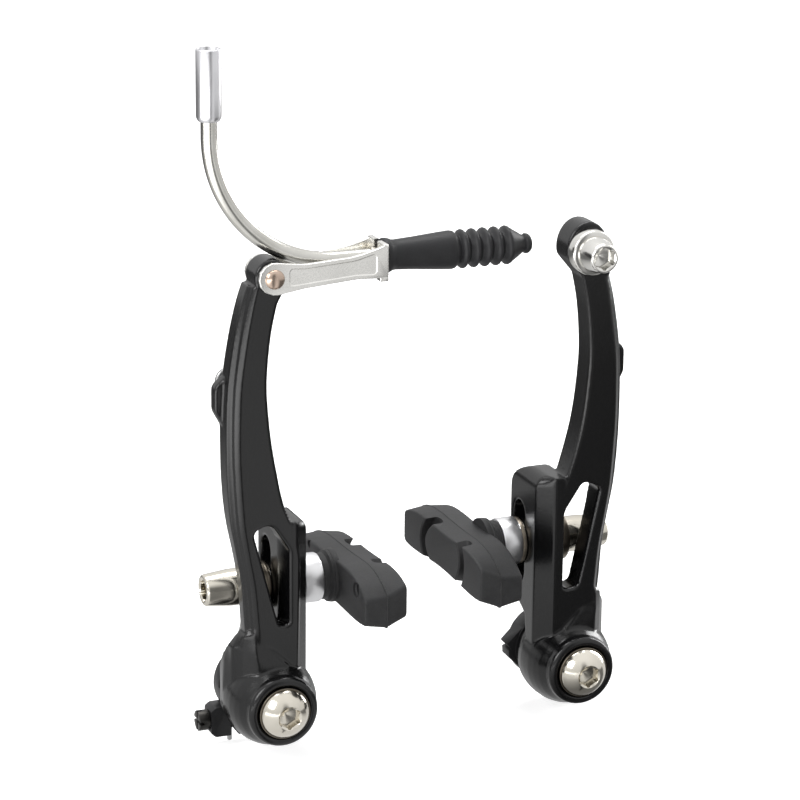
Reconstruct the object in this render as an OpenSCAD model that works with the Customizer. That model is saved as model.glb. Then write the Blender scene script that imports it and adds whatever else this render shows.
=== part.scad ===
// Linear-pull bicycle rim brake: two arms, their pads, the cable link and its guide tube.
// The frame's origin lies midway between the two pivot axes, in the plane of the arms' front faces.
// +X runs across the wheel, +Y points back to the fork that carries the brake, +Z points up.

/* [Pivots] */
// Distance from the wheel's middle plane to each pivot axis
pivot_half = 40; // [38:0.5:42]
// Radius of the thread that screws into the fork's boss
pivot_thread_r = 2.9; // [2.9:0.05:3]
// Inner radius of the steel bush that slides over the fork's boss
bush_bore_r = 4.08; // [4.06:0.01:4.1]
// Outer radius of the bush, on which the arm turns
bush_r = 5; // [4.9:0.05:5.1]
// Largest radius of the arm's barrel
barrel_r = 11.4; // [11:0.1:11.8]

/* [Arms] */
// Height of the cable pivot and the cable clamp above the arm pivots
top_z = 108.08; // [106:0.02:110]
// Distance of the cable pivot and the cable clamp from the middle plane
top_x = 41.07; // [40:0.01:42]
// Radius of the left arm's top, round the rivet
left_top_r = 4.3; // [4:0.1:4.4]
// Radius of the right arm's top, round the clamp bolt
right_top_r = 5.6; // [5:0.1:6]
// Thickness of the blade from its front face to its back face
blade_depth = 7.8; // [7.4:0.1:8]

/* [Pads] */
// Distance of the pads' braking faces from the middle plane
pad_face_x = 9.2; // [9:0.1:10]
// Length of a pad along the rim
pad_length = 50.6; // [48:0.2:52]
// Height of a pad's braking face at its middle
pad_height = 9.7; // [9.2:0.1:10.2]
// Height of the left pad's post
left_post_z = 27.1; // [27:0.1:31]
// Distance by which the left leg and its pad stand further out than the right ones
left_stack_out = 1; // [0:0.1:1.2]
// Height of the right pad's post
right_post_z = 30.3; // [27:0.1:31]
// Radius of a pad's threaded post
post_r = 2.9; // [2.8:0.05:2.95]

/* [Noodle] */
// Outer radius of the bent guide tube
tube_r = 1.95; // [1.9:0.05:2]
// Radius of the guide tube's bend, at its centre line
bend_r = 32; // [31:0.5:33]
// Height of the top of the ferrule
ferrule_top_z = 162.9; // [158:0.1:166]
// Outer radius of the ferrule
ferrule_r = 3; // [2.9:0.05:3.1]
// Length of the rubber boot
boot_length = 39; // [37:0.5:40]

/* [Hidden] */
$fn = 64;
LEFT = -1;
RIGHT = 1;
eps = 0.01;

black = [0.05, 0.05, 0.055];
plastic = [0.09, 0.09, 0.09];
rubber = [0.17, 0.17, 0.17];
steel = [0.78, 0.76, 0.7];
dark_steel = [0.35, 0.32, 0.27];
silver = [0.82, 0.82, 0.84];
white = [0.9, 0.9, 0.88];

// Fits
running_gap = 0.05;
seat_gap = 0.1;

// Along the pivot axis, from front to back
bolt_seat_y = -6;
washer_back_y = -5.2;
recess_y = -4.9;
barrel_back_y = 14;
housing_y = 14.3;
bush_back_y = 20.6;
housing_r = 9.6;
cavity_r = 7.6;
screw_r = 1.5;
screw_tip_x = 47.1;
screw_head_x = 52.4;
screw_y = 17;
screw_z = -8.4;

// Leg that carries the pad, and the slot in which the post slides
leg_inner_x = 30;
leg_outer_x = 37.25;
leg_depth = 19.5;
window_x = 36.5;
post_y = 13.5;
slot_half = 3.4;
slot_low_z = 19.5;

// Pad stack: the two ball washers and both cups share one ball centre inside the leg
ball_x = (leg_inner_x + leg_outer_x) / 2;
inner_ball_r = 7.64;
outer_ball_r = 7.23;
ball_bore_r = 3.7;
inner_cup_x = 23.7;
inner_cup_rim_x = 28.8;
outer_cup_x = 41.75;
outer_cup_rim_x = 38.45;
cup_r = 6.2;
nut_x = 41.75;
nut_end_x = 53.5;
post_end_x = 49.7;
pad_back_x = 20.4;
collar_x = 23.6;
collar_r = 7.3;
plate_x = 14.5;
plate_t = 1.5;

// Noodle and link
noodle_y = 3.75;
noodle_z = 110.3;
bend_x = -23.4;
link_t = 1.3;
link_front_y = -1.7;
link_back_y = 2 * noodle_y - link_front_y;
link_end_x = -12.2;
tube_end_x = -15;
tip_r = 1.5;
tip_end_x = -8;
ferrule_low_z = 145.9;
housing_socket_r = 2.6;
boot_x = -12.1;
rivet_r = 2;

// Return spring
wire_r = 0.65;
coil_r = 6;
coil_front_y = 15.3;
coil_back_y = 18.6;
coil_turns = 2;

function stack_out(side) = side == LEFT ? left_stack_out : 0;
function leg_top_z(side) = side == LEFT ? 46.7 : 50.2;
function slot_high_z(side) = side == LEFT ? 39.3 : 40.9;
function post_z(side) = side == LEFT ? left_post_z : right_post_z;

function unit(v) = v / norm(v);
function turn(a, b, c) = (b - a)[0] * (c - b)[1] - (b - a)[1] * (c - b)[0];

// Points of an arc of radius r that rounds the corner b between a and c
function corner_arc(a, b, c, r, n = 5) =
    let (
        to_a = unit(a - b), to_c = unit(c - b),
        half = acos(to_a * to_c) / 2,
        start = b + to_a * r / tan(half),
        centre = b + unit(to_a + to_c) * r / sin(half),
        from = atan2(start[1] - centre[1], start[0] - centre[0]),
        sweep = (180 - 2 * half) * sign(turn(a, b, c))
    )
    [for (i = [0:n]) centre + r * [cos(from + sweep * i / n), sin(from + sweep * i / n)]];

// Closed outline from [x, y, radius] corners; a radius of 0 keeps the corner sharp
function rounded(corners) =
    [for (i = [0:len(corners) - 1])
        let (
            n = len(corners),
            a = corners[(i + n - 1) % n], b = corners[i], c = corners[(i + 1) % n],
            p = [a[0], a[1]], q = [b[0], b[1]], s = [c[0], c[1]]
        )
        each (b[2] == 0 ? [q] : corner_arc(p, q, s, b[2]))];

// Smooth value between b and c, with a and d as the neighbours on both sides
function smooth(a, b, c, d, t) =
    0.5 * (2 * b + (c - a) * t + (2 * a - 5 * b + 4 * c - d) * t * t
        + (3 * b - a - 3 * c + d) * t * t * t);

// Stations with smooth ones added between them
function refined(list, steps) =
    let (last = len(list) - 1)
    [for (i = [0:last - 1]) for (k = [0:steps - 1])
        smooth(list[max(i - 1, 0)], list[i], list[i + 1], list[min(i + 2, last)], k / steps),
        list[last]];

// Closed skin through rings with the same even number of points each; a ring's points pair off across it,
// the first with the last, to close both ends
module skin(rings) {
    n = len(rings[0]);
    last = len(rings) - 1;
    points = [for (ring = rings) each ring];
    sides = [for (i = [0:last - 1]) for (j = [0:n - 1])
        let (k = (j + 1) % n)
        each [[i * n + j, (i + 1) * n + k, i * n + k], [i * n + j, (i + 1) * n + j, (i + 1) * n + k]]];
    low = [for (j = [0:n / 2 - 2]) each [[j, j + 1, n - 1 - j], [j + 1, n - 2 - j, n - 1 - j]]];
    high = [for (f = low) [for (j = [2:-1:0]) last * n + f[j]]];
    polyhedron(points, concat(sides, low, high), convexity = 6);
}

// Round wire along a list of centre points
module wire(path, r, sides = 8) {
    last = len(path) - 1;
    rings = [for (i = [0:last])
        let (
            along = unit(path[min(i + 1, last)] - path[max(i - 1, 0)]),
            across = unit(cross(along, abs(along[1]) < 0.8 ? [0, 1, 0] : [1, 0, 0])),
            over = cross(along, across)
        )
        [for (k = [0:sides - 1])
            path[i] + r * (cos(360 * k / sides) * across + sin(360 * k / sides) * over)]];
    skin(rings);
}

// Turns the children's +Z into -Y, so that a height is a distance in front of y = 0
module facing_front() { rotate([90, 0, 0]) children(); }

// Extrudes a front view, drawn in x and z, from y0 back to y1
module through_y(y0, y1) { translate([0, y1, 0]) rotate([90, 0, 0]) linear_extrude(y1 - y0) children(); }

// Extrudes a side view, drawn in y and z, from x0 to x1
module through_x(x0, x1) {
    translate([x0, 0, 0]) rotate([90, 0, 90]) linear_extrude(x1 - x0) children();
}

// Revolves a profile of [radius, height] about the X axis, with heights along +X
module about_x() { rotate([0, 90, 0]) rotate_extrude() children(); }

// Copies a right-hand shape to its own side
module on_side(side) {
    if (side == LEFT) mirror([1, 0, 0]) children();
    else children();
}

// Six-sided prism, across its flats
module hexagon(across, length) { cylinder(h = length, r = across / 2 / cos(30), $fn = 6); }

// Blade stations: height, inner edge, outer edge of the front face, outer edge, thinner by this much
blade = [
    [6, 34.4, 43.6, 46, 1.4],
    [20, 34.1, 44.6, 47.5, 1.4],
    [31, 33.9, 45.6, 48.3, 1.4],
    [39, 33.9, 47, 49.6, 1.4],
    [46, 35.3, 48.1, 50.9, 0.8],
    [51.5, 37.3, 48.6, 51.5, 0.2],
    [57.5, 39.1, 49, 51.9, 0],
    [64, 40.6, 49.3, 52.1, 0],
    [72, 41.7, 49.3, 52.1, 0],
    [82, 42.3, 48.9, 51.6, 0],
    [93, 41.4, 47.4, 50, 0.2],
    [101, 39.8, 45.9, 48.2, 0.3],
    [106, 38.4, 44.7, 46.6, 0.3]
];

// The left blade's inner edge runs into its lower leg a little further out
function on_blade(s, side) =
    [s[0], s[1] + (side == LEFT ? 0.8 * exp(-pow((s[0] - 50) / 8, 2)) : 0), s[2], s[3], s[4]];

// One level section of the blade, with its edges broken
function blade_ring(s) =
    let (z = s[0], a = s[1], f = s[2], b = s[3], d = blade_depth - s[4])
    [[a + 0.8, 0, z], [f, 0, z], [f + 0.9, 0.5, z], [b - 0.4, 2.1, z], [b, 3.3, z],
     [b, d - 1, z], [b - 1, d, z], [a + 1, d, z], [a, d - 1, z], [a, 0.8, z]];

module blade_skin(side) { skin([for (s = refined(blade, 2)) blade_ring(on_blade(s, side))]); }

// Upright leg on the pad's side, with its big front bevel and rounded top
module leg(side) {
    inner = leg_inner_x + stack_out(side);
    outer = leg_outer_x + stack_out(side);
    top = leg_top_z(side);
    intersection() {
        linear_extrude(top + 1)
            polygon([[inner, 3.8], [inner + 3.8, 0], [window_x, 0], [outer, 4.5], [outer, leg_depth],
                [inner + 0.8, leg_depth], [inner, leg_depth - 0.8]]);
        through_x(inner - 1, outer + 1)
            polygon(rounded([[0, 2, 0], [7.5, 2, 0], [9, 12, 0], [leg_depth, 18, 1.5],
                [leg_depth, top, 9], [0, top, 2]]));
        through_y(-1, leg_depth + 1)
            polygon(rounded([[inner, 1, 0], [outer, 1, 0], [outer, top, 0], [inner, top, 3.5]]));
    }
}

// Swelling on the barrel's outer side, below the blade; its front edge shows as a crease
module shoulder() {
    intersection() {
        translate([0, 0, -4]) linear_extrude(25)
            polygon([[37, -1.2], [43, -1.2], [45.4, -0.5], [47.9, 2], [50, 5], [51.2, 8.5], [50.6, 12.8],
                [37, 13.6]]);
        through_y(-2, 14)
            polygon(rounded([[37, -3, 0], [51.4, -3, 0], [51.1, 6, 4], [50.2, 14.6, 3],
                [47.4, 19, 1], [45, 20.5, 0], [42.6, 15.6, 3], [37, 10.2, 0]]));
        through_x(36, 52)
            polygon([[-1.2, -5], [14, -5], [13.2, 4], [12.2, 8], [9.9, 12], [7.4, 15.4],
                [6.3, 18], [6.3, 22], [0.6, 22], [0.2, 17.8], [-0.9, 9], [-1.2, 6]]);
    }
}

// Round body of the arm about its pivot, as radius and distance behind y = 0
barrel_profile = [
    [0, -5.6], [7.8, -5.6], [8.6, -5.2], [9, -4.4], [9, -3.5], [8.7, -3], [9.1, -2.3],
    [10, -0.7], [10.7, 1.2], [11.2, 3.4], [barrel_r, 5.8], [barrel_r, 7.6], [11.1, 9.8],
    [10.5, 11.6], [9.7, 13], [8.8, barrel_back_y], [0, barrel_back_y]
];

module barrel() {
    facing_front() rotate_extrude() polygon([for (p = barrel_profile) [p[0], -p[1]]]);
}

// Spring lug on the blade's outer back edge
module lug() {
    through_y(4.6, 8)
        polygon(rounded([[49, 68, 0], [51.9, 71, 2], [54.1, 75, 3], [54.1, 81, 2.5],
            [51.4, 83.4, 1.5], [49, 86, 0]]));
}

module window(side) {
    through_y(-1, leg_depth + 1)
        polygon(rounded(side == LEFT
            ? [[window_x, 20.4, 1.4], [window_x, 39.4, 6], [41.6, 47, 2.6], [45.9, 45, 1.8], [39.3, 20.4, 1.4]]
            : [[window_x, 20.4, 1.4], [window_x, 40.8, 6], [41.6, 48.5, 1.6], [46.2, 46.7, 1.8],
                [40.6, 20.8, 1.6]]));
}

// Slot through the leg, in which the pad's post slides up and down
module post_slot(side) {
    high = slot_high_z(side);
    through_x(leg_inner_x - 2, leg_outer_x + 3)
        translate([post_y, 0]) {
            translate([0, slot_low_z + slot_half]) circle(slot_half);
            translate([0, high - slot_half]) circle(slot_half);
            translate([-slot_half, slot_low_z + slot_half])
                square([2 * slot_half, high - slot_low_z - 2 * slot_half]);
        }
}

module arm_top(side) {
    r = side == LEFT ? left_top_r : right_top_r;
    rise = side == LEFT ? 0 : 1.5;
    hull() {
        translate([top_x, 7.5, top_z + rise]) facing_front() cylinder(h = 7.5, r = r, $fn = 40);
        translate([top_x, 7.5, top_z]) facing_front() cylinder(h = 7.5, r = r, $fn = 40);
        translate([0, 0, 102]) linear_extrude(1)
            polygon([for (p = blade_ring([102, 39.6, 45.4, 47.6, 0.3])) [p[0], p[1]]]);
    }
}

module arm(side) {
    hole_r = side == LEFT ? rivet_r + running_gap : 2.6;
    color(black) on_side(side) difference() {
        union() {
            difference() {
                blade_skin(side);
                window(side);
            }
            leg(side);
            arm_top(side);
            shoulder();
            lug();
            translate([pivot_half, 0, 0]) barrel();
        }
        post_slot(side);
        translate([pivot_half, 0, 0]) facing_front() {
            translate([0, 0, -30]) cylinder(h = 60, r = bush_r + running_gap);
            translate([0, 0, -recess_y]) cylinder(h = 3, r = 6.9);
        }
        translate([top_x, 20, top_z]) facing_front() cylinder(h = 40, r = hole_r);
    }
}

module pivot_bush(side) {
    color(steel) on_side(side) translate([pivot_half, bush_back_y, 0]) facing_front()
        difference() {
            cylinder(h = bush_back_y - washer_back_y, r = bush_r);
            translate([0, 0, -1]) cylinder(h = bush_back_y - washer_back_y + 2, r = bush_bore_r);
        }
}

module pivot_bolt(side) {
    color(steel) on_side(side) translate([pivot_half, 0, 0]) facing_front() {
        difference() {
            union() {
                translate([0, 0, -bolt_seat_y]) rotate_extrude()
                    polygon([[0, 0], [6.15, 0], [6.15, 0.5], [5.9, 1.2], [5.4, 1.9], [4.7, 2.6],
                        [3.9, 3.2], [3.1, 3.55], [0, 3.55]]);
                translate([0, 0, -recess_y]) cylinder(h = recess_y - bolt_seat_y + 0.1, r = 3.1);
                translate([0, 0, -12]) cylinder(h = 12 - recess_y + eps, r = pivot_thread_r);
            }
            translate([0, 0, -bolt_seat_y + 0.8]) hexagon(5, 4);
        }
    }
}

module bolt_washer(side) {
    color(dark_steel) on_side(side) translate([pivot_half, washer_back_y, 0]) facing_front()
        difference() {
            cylinder(h = washer_back_y - bolt_seat_y, r = 6.5);
            translate([0, 0, -1]) cylinder(h = 3, r = 3.3);
        }
}

// Centre line of the spring: its peg, its coil round the bush, and the long leg up to the lug
spring_leg = [
    [46.2, 15.3, 3], [46.8, 15.1, 6.5], [47.2, 13.9, 9.5], [47, 11.8, 12.5], [46.7, 9.4, 15.5],
    [46.4, 7.6, 18.5], [46.3, 7.1, 22], [46.6, 7.1, 31], [47.9, 7.15, 40], [49.1, 8, 46],
    [49.7, 8.8, 52], [50.2, 8.8, 60], [50.6, 8.8, 68], [51.4, 8.8, 75], [52, 8.8, 80],
    [51.8, 8.8, 82.4], [50.6, 8.8, 83.8], [48.8, 8.8, 84.2]
];

function coil_point(t) =
    [pivot_half + coil_r * cos(360 * t), coil_back_y + (coil_front_y - coil_back_y) * t / coil_turns,
     coil_r * sin(360 * t)];

module return_spring(side) {
    peg = [[pivot_half + coil_r, coil_back_y, -15.4], [pivot_half + coil_r, coil_back_y, -8],
        [pivot_half + coil_r, coil_back_y, -3]];
    coil = [for (k = [0:14 * coil_turns]) coil_point(k / 14)];
    color(steel) on_side(side) wire(concat(peg, coil, spring_leg), wire_r);
}

// Plastic cup that holds the coil, with the tension screw's ear and the stop wing
module spring_housing(side) {
    depth = 6;
    color(plastic) on_side(side) difference() {
        union() {
            translate([pivot_half, housing_y + depth, 0]) facing_front()
                cylinder(h = depth, r = housing_r);
            through_y(housing_y, housing_y + 5.4)
                polygon(rounded([[40, -9, 0], [44.6, -12.4, 1], [51, -12.4, 1.2],
                    [52.2, -11.4, 0.8], [52.2, -5.6, 0.8], [51, -4.7, 1.2], [48.4, -4.7, 0],
                    [46, 0, 0], [40, 0, 0]]));
            through_y(housing_y + 0.6, housing_y + 5)
                polygon([[40, 9], [34.6, 8], [28.1, 1.6], [29.4, 0.2], [28.6, -0.1], [28.7, -1.9],
                    [30.7, -4], [33, -6], [40, -4]]);
        }
        translate([pivot_half, 30, 0]) facing_front() cylinder(h = 20, r = bush_r + 0.02);
        translate([pivot_half, housing_y + 4.8, 0]) facing_front() cylinder(h = 8, r = cavity_r);
        translate([pivot_half + coil_r - 1, housing_y - 1, -14]) cube([2, 6, 14]);
        translate([pivot_half + 4, housing_y - 1, 0]) cube([8, 3, 12]);
        translate([screw_tip_x - 0.2, screw_y, screw_z]) rotate([0, 90, 0])
            cylinder(h = 10, r = screw_r + running_gap);
    }
}

module tension_screw(side) {
    color(dark_steel) on_side(side) translate([screw_head_x, screw_y, screw_z]) rotate([0, 90, 0]) difference() {
        union() {
            cylinder(h = 2.6, r = 2.6);
            translate([0, 0, screw_tip_x - screw_head_x]) cylinder(h = 6, r = screw_r);
        }
        translate([-3, -0.4, 1.4]) cube([6, 0.8, 2]);
        translate([-0.4, -3, 1.4]) cube([0.8, 6, 2]);
    }
}

// Moves a stack drawn about the X axis to its post
module at_post(side) {
    on_side(side) translate([stack_out(side), post_y, post_z(side)]) children();
}

// Sections of a pad across its width: distance from the middle plane, then how far its ends, its top and
// its bottom stand out from the outline of the braking face
seam_x = 14.5;
pad_sections = [
    [pad_face_x, -0.5, -0.5, -0.5],
    [pad_face_x + 0.5, 0, 0, 0],
    [seam_x, 0.5, 0.5, 1.9],
    [pad_back_x - 0.7, 0.2, 0.1, 1],
    [pad_back_x, -0.4, -0.5, 0.4]
];
pad_middle_y = 1;

// Side view of a pad at t from -1 at its near end to 1 at its far end: it bends to follow the rim
function pad_line(t) = -0.95 - 0.75 * t - 1.3 * t * t;
function pad_half(t) = pad_height / 2 - 0.75 * t * t;
function pad_swell(t) = 4 * t * t * (1 - t * t);
function pad_low(s, t) =
    [pad_middle_y + (pad_length / 2 + s[1]) * t, pad_line(t) - pad_half(t) - 0.6 * pad_swell(t) - s[3]];
function pad_high(s, t) =
    [pad_middle_y + (pad_length / 2 + s[1]) * t, pad_line(t) + pad_half(t) + pad_swell(t) + s[2]];
function pad_outline(s) =
    let (steps = [for (k = [-9:9]) 0.97 * k / 9])
    concat(
        [pad_low(s, -1) + [0, 0.9]],
        [for (t = steps) pad_low(s, t)],
        [pad_low(s, 1) + [0, 0.9], pad_high(s, 1) - [0, 0.9]],
        [for (k = [len(steps) - 1:-1:0]) pad_high(s, steps[k])],
        [pad_high(s, -1) - [0, 0.9]]
    );

// Panel sunk into the pad's back, and the blind hole near its near end
module back_panel() {
    difference() {
        through_x(pad_back_x - 0.6, pad_back_x + 1) polygon(pad_outline([0, -2, -1.8, -1]));
        rotate([0, 90, 0]) cylinder(h = 2 * pad_back_x, r = collar_r + 0.8);
    }
    translate([pad_back_x - 3, -18.5, 2.2]) rotate([0, 90, 0]) cylinder(h = 5, r = 1.6);
}

// Curved groove between two of a pad's blocks, bowed away from the middle block
module pad_groove(y, z_middle, bow) {
    half = 1.15;
    edge = [for (z = [-8:1:8]) [y - bow * pow((z - z_middle) / 5, 2), z]];
    polygon(concat([for (p = edge) p - [half, 0]],
        [for (i = [len(edge) - 1:-1:0]) edge[i] + [half, 0]]));
}

module brake_pad(side) {
    color(rubber) at_post(side) difference() {
        union() {
            skin([for (s = pad_sections) [for (p = pad_outline(s)) [s[0], p[0], p[1]]]]);
            translate([pad_back_x - 1, 0, 0]) about_x()
                polygon([[0, 0], [collar_r, 0], [collar_r, 2.6], [collar_r - 0.8, 3.2],
                    [collar_r - 0.8, collar_x - pad_back_x + 1], [0, collar_x - pad_back_x + 1]]);
        }
        through_x(pad_face_x - 1, pad_face_x + 3.2) {
            pad_groove(-11.8, -0.5, -2);
            pad_groove(13.6, -1.5, 3);
        }
        back_panel();
        backing_plate();
        translate([plate_x, 0, 0]) rotate([0, 90, 0]) cylinder(h = 20, r = post_r);
    }
}

module backing_plate() {
    through_x(plate_x, plate_x + plate_t) translate([-18, -3.4]) square([36, 5.6]);
}

module pad_stud(side) {
    color(steel) at_post(side) {
        backing_plate();
        translate([plate_x + plate_t / 2, 0, 0]) rotate([0, 90, 0])
            cylinder(h = post_end_x - plate_x - plate_t / 2, r = post_r);
    }
}

// Half of the space outside a ball about the pad stack's centre, as a solid of revolution
function ball_arc(r, low, high, n = 8) =
    [for (k = [0:n]) let (a = low + (high - low) * k / n) [r * sin(a), r * cos(a)]];

// Thick silver cup between the pad and the inner ball washer
module inner_cup(side) {
    r = inner_ball_r + seat_gap;
    low = asin((post_r + running_gap) / r);
    high = asin((cup_r - 0.5) / r);
    reach = ball_x - inner_cup_x;
    color(silver) at_post(side) translate([ball_x, 0, 0]) mirror([1, 0, 0]) about_x()
        polygon(concat(ball_arc(r, low, high),
            [[cup_r, ball_x - inner_cup_rim_x], [cup_r, reach - 0.5], [cup_r - 0.5, reach],
             [post_r + running_gap, reach]]));
}

module inner_ball_washer(side) {
    flat = ball_x - leg_inner_x + seat_gap;
    low = asin(ball_bore_r / inner_ball_r);
    high = asin(6 / inner_ball_r);
    color(dark_steel) at_post(side) translate([ball_x, 0, 0]) mirror([1, 0, 0]) about_x()
        polygon(concat(ball_arc(inner_ball_r, low, high), [[6, flat], [ball_bore_r, flat]]));
}

module outer_ball_washer(side) {
    flat = leg_outer_x - ball_x + seat_gap;
    low = asin(ball_bore_r / outer_ball_r);
    high = asin(5.6 / outer_ball_r);
    color(dark_steel) at_post(side) translate([ball_x, 0, 0]) about_x()
        polygon(concat(ball_arc(outer_ball_r, low, high), [[5.6, flat], [ball_bore_r, flat]]));
}

// Thin dark cup between the outer ball washer and the nut
module outer_cup(side) {
    r = outer_ball_r + seat_gap;
    low = asin((post_r + running_gap) / r);
    rim = outer_cup_rim_x - ball_x;
    high = acos(rim / r);
    color(dark_steel) at_post(side) translate([ball_x, 0, 0]) about_x()
        polygon(concat(ball_arc(r, low, high),
            [[cup_r, rim], [cup_r, outer_cup_x - 0.4 - ball_x], [cup_r - 0.4, outer_cup_x - ball_x],
             [post_r + running_gap, outer_cup_x - ball_x]]));
}

module pad_nut(side) {
    length = nut_end_x - nut_x;
    color(silver) at_post(side) translate([nut_x, 0, 0]) rotate([0, 90, 0]) difference() {
        rotate_extrude()
            polygon([[0, 0], [4.6, 0], [4.6, length - 6.7], [3.95, length - 0.5],
                [3.6, length], [0, length]]);
        translate([0, 0, -1]) cylinder(h = length - 2.7, r = post_r + running_gap);
        translate([0, 0, length - 3.8]) hexagon(5, 6);
    }
}

// Front view of the link's plates
link_outline = rounded([
    [link_end_x, 106, 0], [-20.5, 106.3, 20], [-33.5, 105.2, 20], [-40.2, 104.15, 0],
    [-41.6, 104.2, 0], [-43.4, 104.95, 0], [-44.6, 106.35, 0], [-45.02, 108.08, 0],
    [-44.6, 109.8, 0], [-43.4, 111.2, 0], [-41.6, 112, 0], [-40.2, 111.95, 0],
    [-33.5, 111.1, 20], [-20.5, 111.9, 25], [-15, 113.4, 8], [link_end_x, 114.4, 0]
]);

// Folded sheet: two plates joined by an end wall with a keyhole for the noodle's tip
module noodle_link() {
    color(silver) difference() {
        union() {
            through_y(link_front_y, link_front_y + link_t) polygon(link_outline);
            through_y(link_back_y - link_t, link_back_y) polygon(link_outline);
            translate([link_end_x - link_t, link_front_y, 106])
                cube([link_t, link_back_y - link_front_y, 8.4]);
            translate([link_end_x - 2.2, link_front_y, 105.2]) cube([2.2, 2.6, 0.9]);
        }
        translate([link_end_x - 5, noodle_y, noodle_z]) rotate([0, 90, 0])
            cylinder(h = 8, r = tip_r + running_gap);
        translate([link_end_x - 5, noodle_y - 1.1, noodle_z]) cube([8, 2.2, 10]);
        translate([-top_x, 20, top_z]) facing_front() cylinder(h = 40, r = rivet_r);
    }
}

module link_rivet() {
    color(dark_steel) translate([-top_x, 0, top_z]) facing_front() {
        translate([0, 0, -link_back_y]) cylinder(h = link_back_y - link_front_y, r = rivet_r);
        translate([0, 0, -link_front_y]) rotate_extrude()
            polygon([[0, 0], [2.4, 0], [2.3, 0.5], [1.8, 0.95], [1, 1.2], [0, 1.25]]);
        translate([0, 0, -link_back_y]) rotate([180, 0, 0]) rotate_extrude()
            polygon([[0, 0], [2.4, 0], [2.3, 0.4], [1.8, 0.75], [1, 0.95], [0, 1]]);
    }
}

// Bent run of the guide tube at radius r: level, a quarter turn, then upright
module noodle_run(r, low_x, top) {
    centre_z = noodle_z + bend_r;
    translate([bend_x, noodle_y, noodle_z]) rotate([0, 90, 0]) cylinder(h = low_x - bend_x, r = r);
    translate([bend_x, noodle_y, centre_z]) rotate([90, 0, 0]) rotate([0, 0, 180])
        rotate_extrude(angle = 90) translate([bend_r, 0]) circle(r);
    translate([bend_x - bend_r, noodle_y, centre_z]) cylinder(h = top - centre_z, r = r);
}

liner_r = 1.25;
tube_top_z = 151;

module noodle_tube() {
    color(silver) difference() {
        noodle_run(tube_r, tube_end_x, tube_top_z);
        noodle_run(liner_r, tube_end_x + 1, tube_top_z + 1);
    }
}

module noodle_liner() {
    color(white) difference() {
        noodle_run(liner_r, tube_end_x - 4, tube_top_z);
        noodle_run(0.8, tube_end_x - 3, tube_top_z + 1);
    }
}

module noodle_ferrule() {
    h = ferrule_top_z - ferrule_low_z;
    seat = tube_top_z - ferrule_low_z;
    color(silver) translate([bend_x - bend_r, noodle_y, ferrule_low_z]) rotate_extrude()
        polygon([[tube_r, 0], [ferrule_r - 0.7, 0], [ferrule_r, 0.9], [ferrule_r, h - 0.2],
            [ferrule_r - 0.2, h], [housing_socket_r, h], [housing_socket_r, seat + 0.6],
            [1, seat + 0.6], [1, seat], [tube_r, seat]]);
}

// Turned tip: a spigot in the tube, a flange inside the link and a neck through its wall
module noodle_tip() {
    color(steel) translate([tube_end_x, noodle_y, noodle_z]) about_x()
        polygon([[0.8, -4], [liner_r, -4], [liner_r, 0], [2.5, 0], [2.5, 1.1], [2.2, 1.4],
            [tip_r, 1.4], [tip_r, tip_end_x - tube_end_x - 0.4],
            [tip_r - 0.3, tip_end_x - tube_end_x], [0.8, tip_end_x - tube_end_x]]);
}

// Rubber boot: lip, tapered sleeve, five bellows, cone and nub, as [distance, radius]
crest_pitch = 3;
first_crest = 21.2;
boot_profile = concat(
    [[0, 3.6], [0.3, 4.15], [3.1, 4.15], [3.5, 3.6], [18.2, 4.45], [19.4, 4]],
    [for (i = [0:4]) let (x = first_crest + crest_pitch * i)
        each [[x - 0.75, 4.5], [x, 4.7], [x + 0.75, 4.4], [x + crest_pitch / 2, 3.4]]],
    [[35.2, 4.2], [37.2, 1.9], [37.6, 1.9], [37.9, 2.4], [boot_length - 0.6, 2.3],
     [boot_length, 1.7], [boot_length, 0.9], [tip_end_x - boot_x, 0.9],
     [tip_end_x - boot_x, tip_r], [0, tip_r]]
);

module noodle_boot() {
    color(rubber) translate([boot_x, noodle_y, noodle_z]) about_x()
        polygon([for (p = boot_profile) [p[1], p[0]]]);
}

module cable_clamp_washer() {
    color(silver) translate([top_x, 0, top_z]) facing_front() rotate_extrude()
        polygon([[2.6, 0], [5.2, 0], [5.65, 0.5], [5.65, 2.9], [5.1, 3.5], [2.6, 3.5]]);
}

module cable_clamp_bolt() {
    color(silver) translate([top_x, 0, top_z]) facing_front() difference() {
        union() {
            translate([0, 0, 3.5]) rotate_extrude()
                polygon([[0, 0], [4.5, 0], [4.5, 0.9], [3.55, 5.6], [3.2, 6.1], [0, 6.1]]);
            translate([0, 0, -8.6]) cylinder(h = 12.2, r = 2.6);
        }
        translate([0, 0, 6]) hexagon(5, 8);
    }
}

arm(LEFT);  // left_arm
arm(RIGHT);  // right_arm
pivot_bush(LEFT);  // left_pivot_bush
pivot_bush(RIGHT);  // right_pivot_bush
pivot_bolt(LEFT);  // left_pivot_bolt
pivot_bolt(RIGHT);  // right_pivot_bolt
bolt_washer(LEFT);  // left_bolt_washer
bolt_washer(RIGHT);  // right_bolt_washer
return_spring(LEFT);  // left_return_spring
return_spring(RIGHT);  // right_return_spring
spring_housing(LEFT);  // left_spring_housing
spring_housing(RIGHT);  // right_spring_housing
tension_screw(LEFT);  // left_tension_screw
tension_screw(RIGHT);  // right_tension_screw
brake_pad(LEFT);  // left_brake_pad
brake_pad(RIGHT);  // right_brake_pad
pad_stud(LEFT);  // left_pad_stud
pad_stud(RIGHT);  // right_pad_stud
inner_cup(LEFT);  // left_inner_cup
inner_cup(RIGHT);  // right_inner_cup
inner_ball_washer(LEFT);  // left_inner_ball_washer
inner_ball_washer(RIGHT);  // right_inner_ball_washer
outer_ball_washer(LEFT);  // left_outer_ball_washer
outer_ball_washer(RIGHT);  // right_outer_ball_washer
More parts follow.
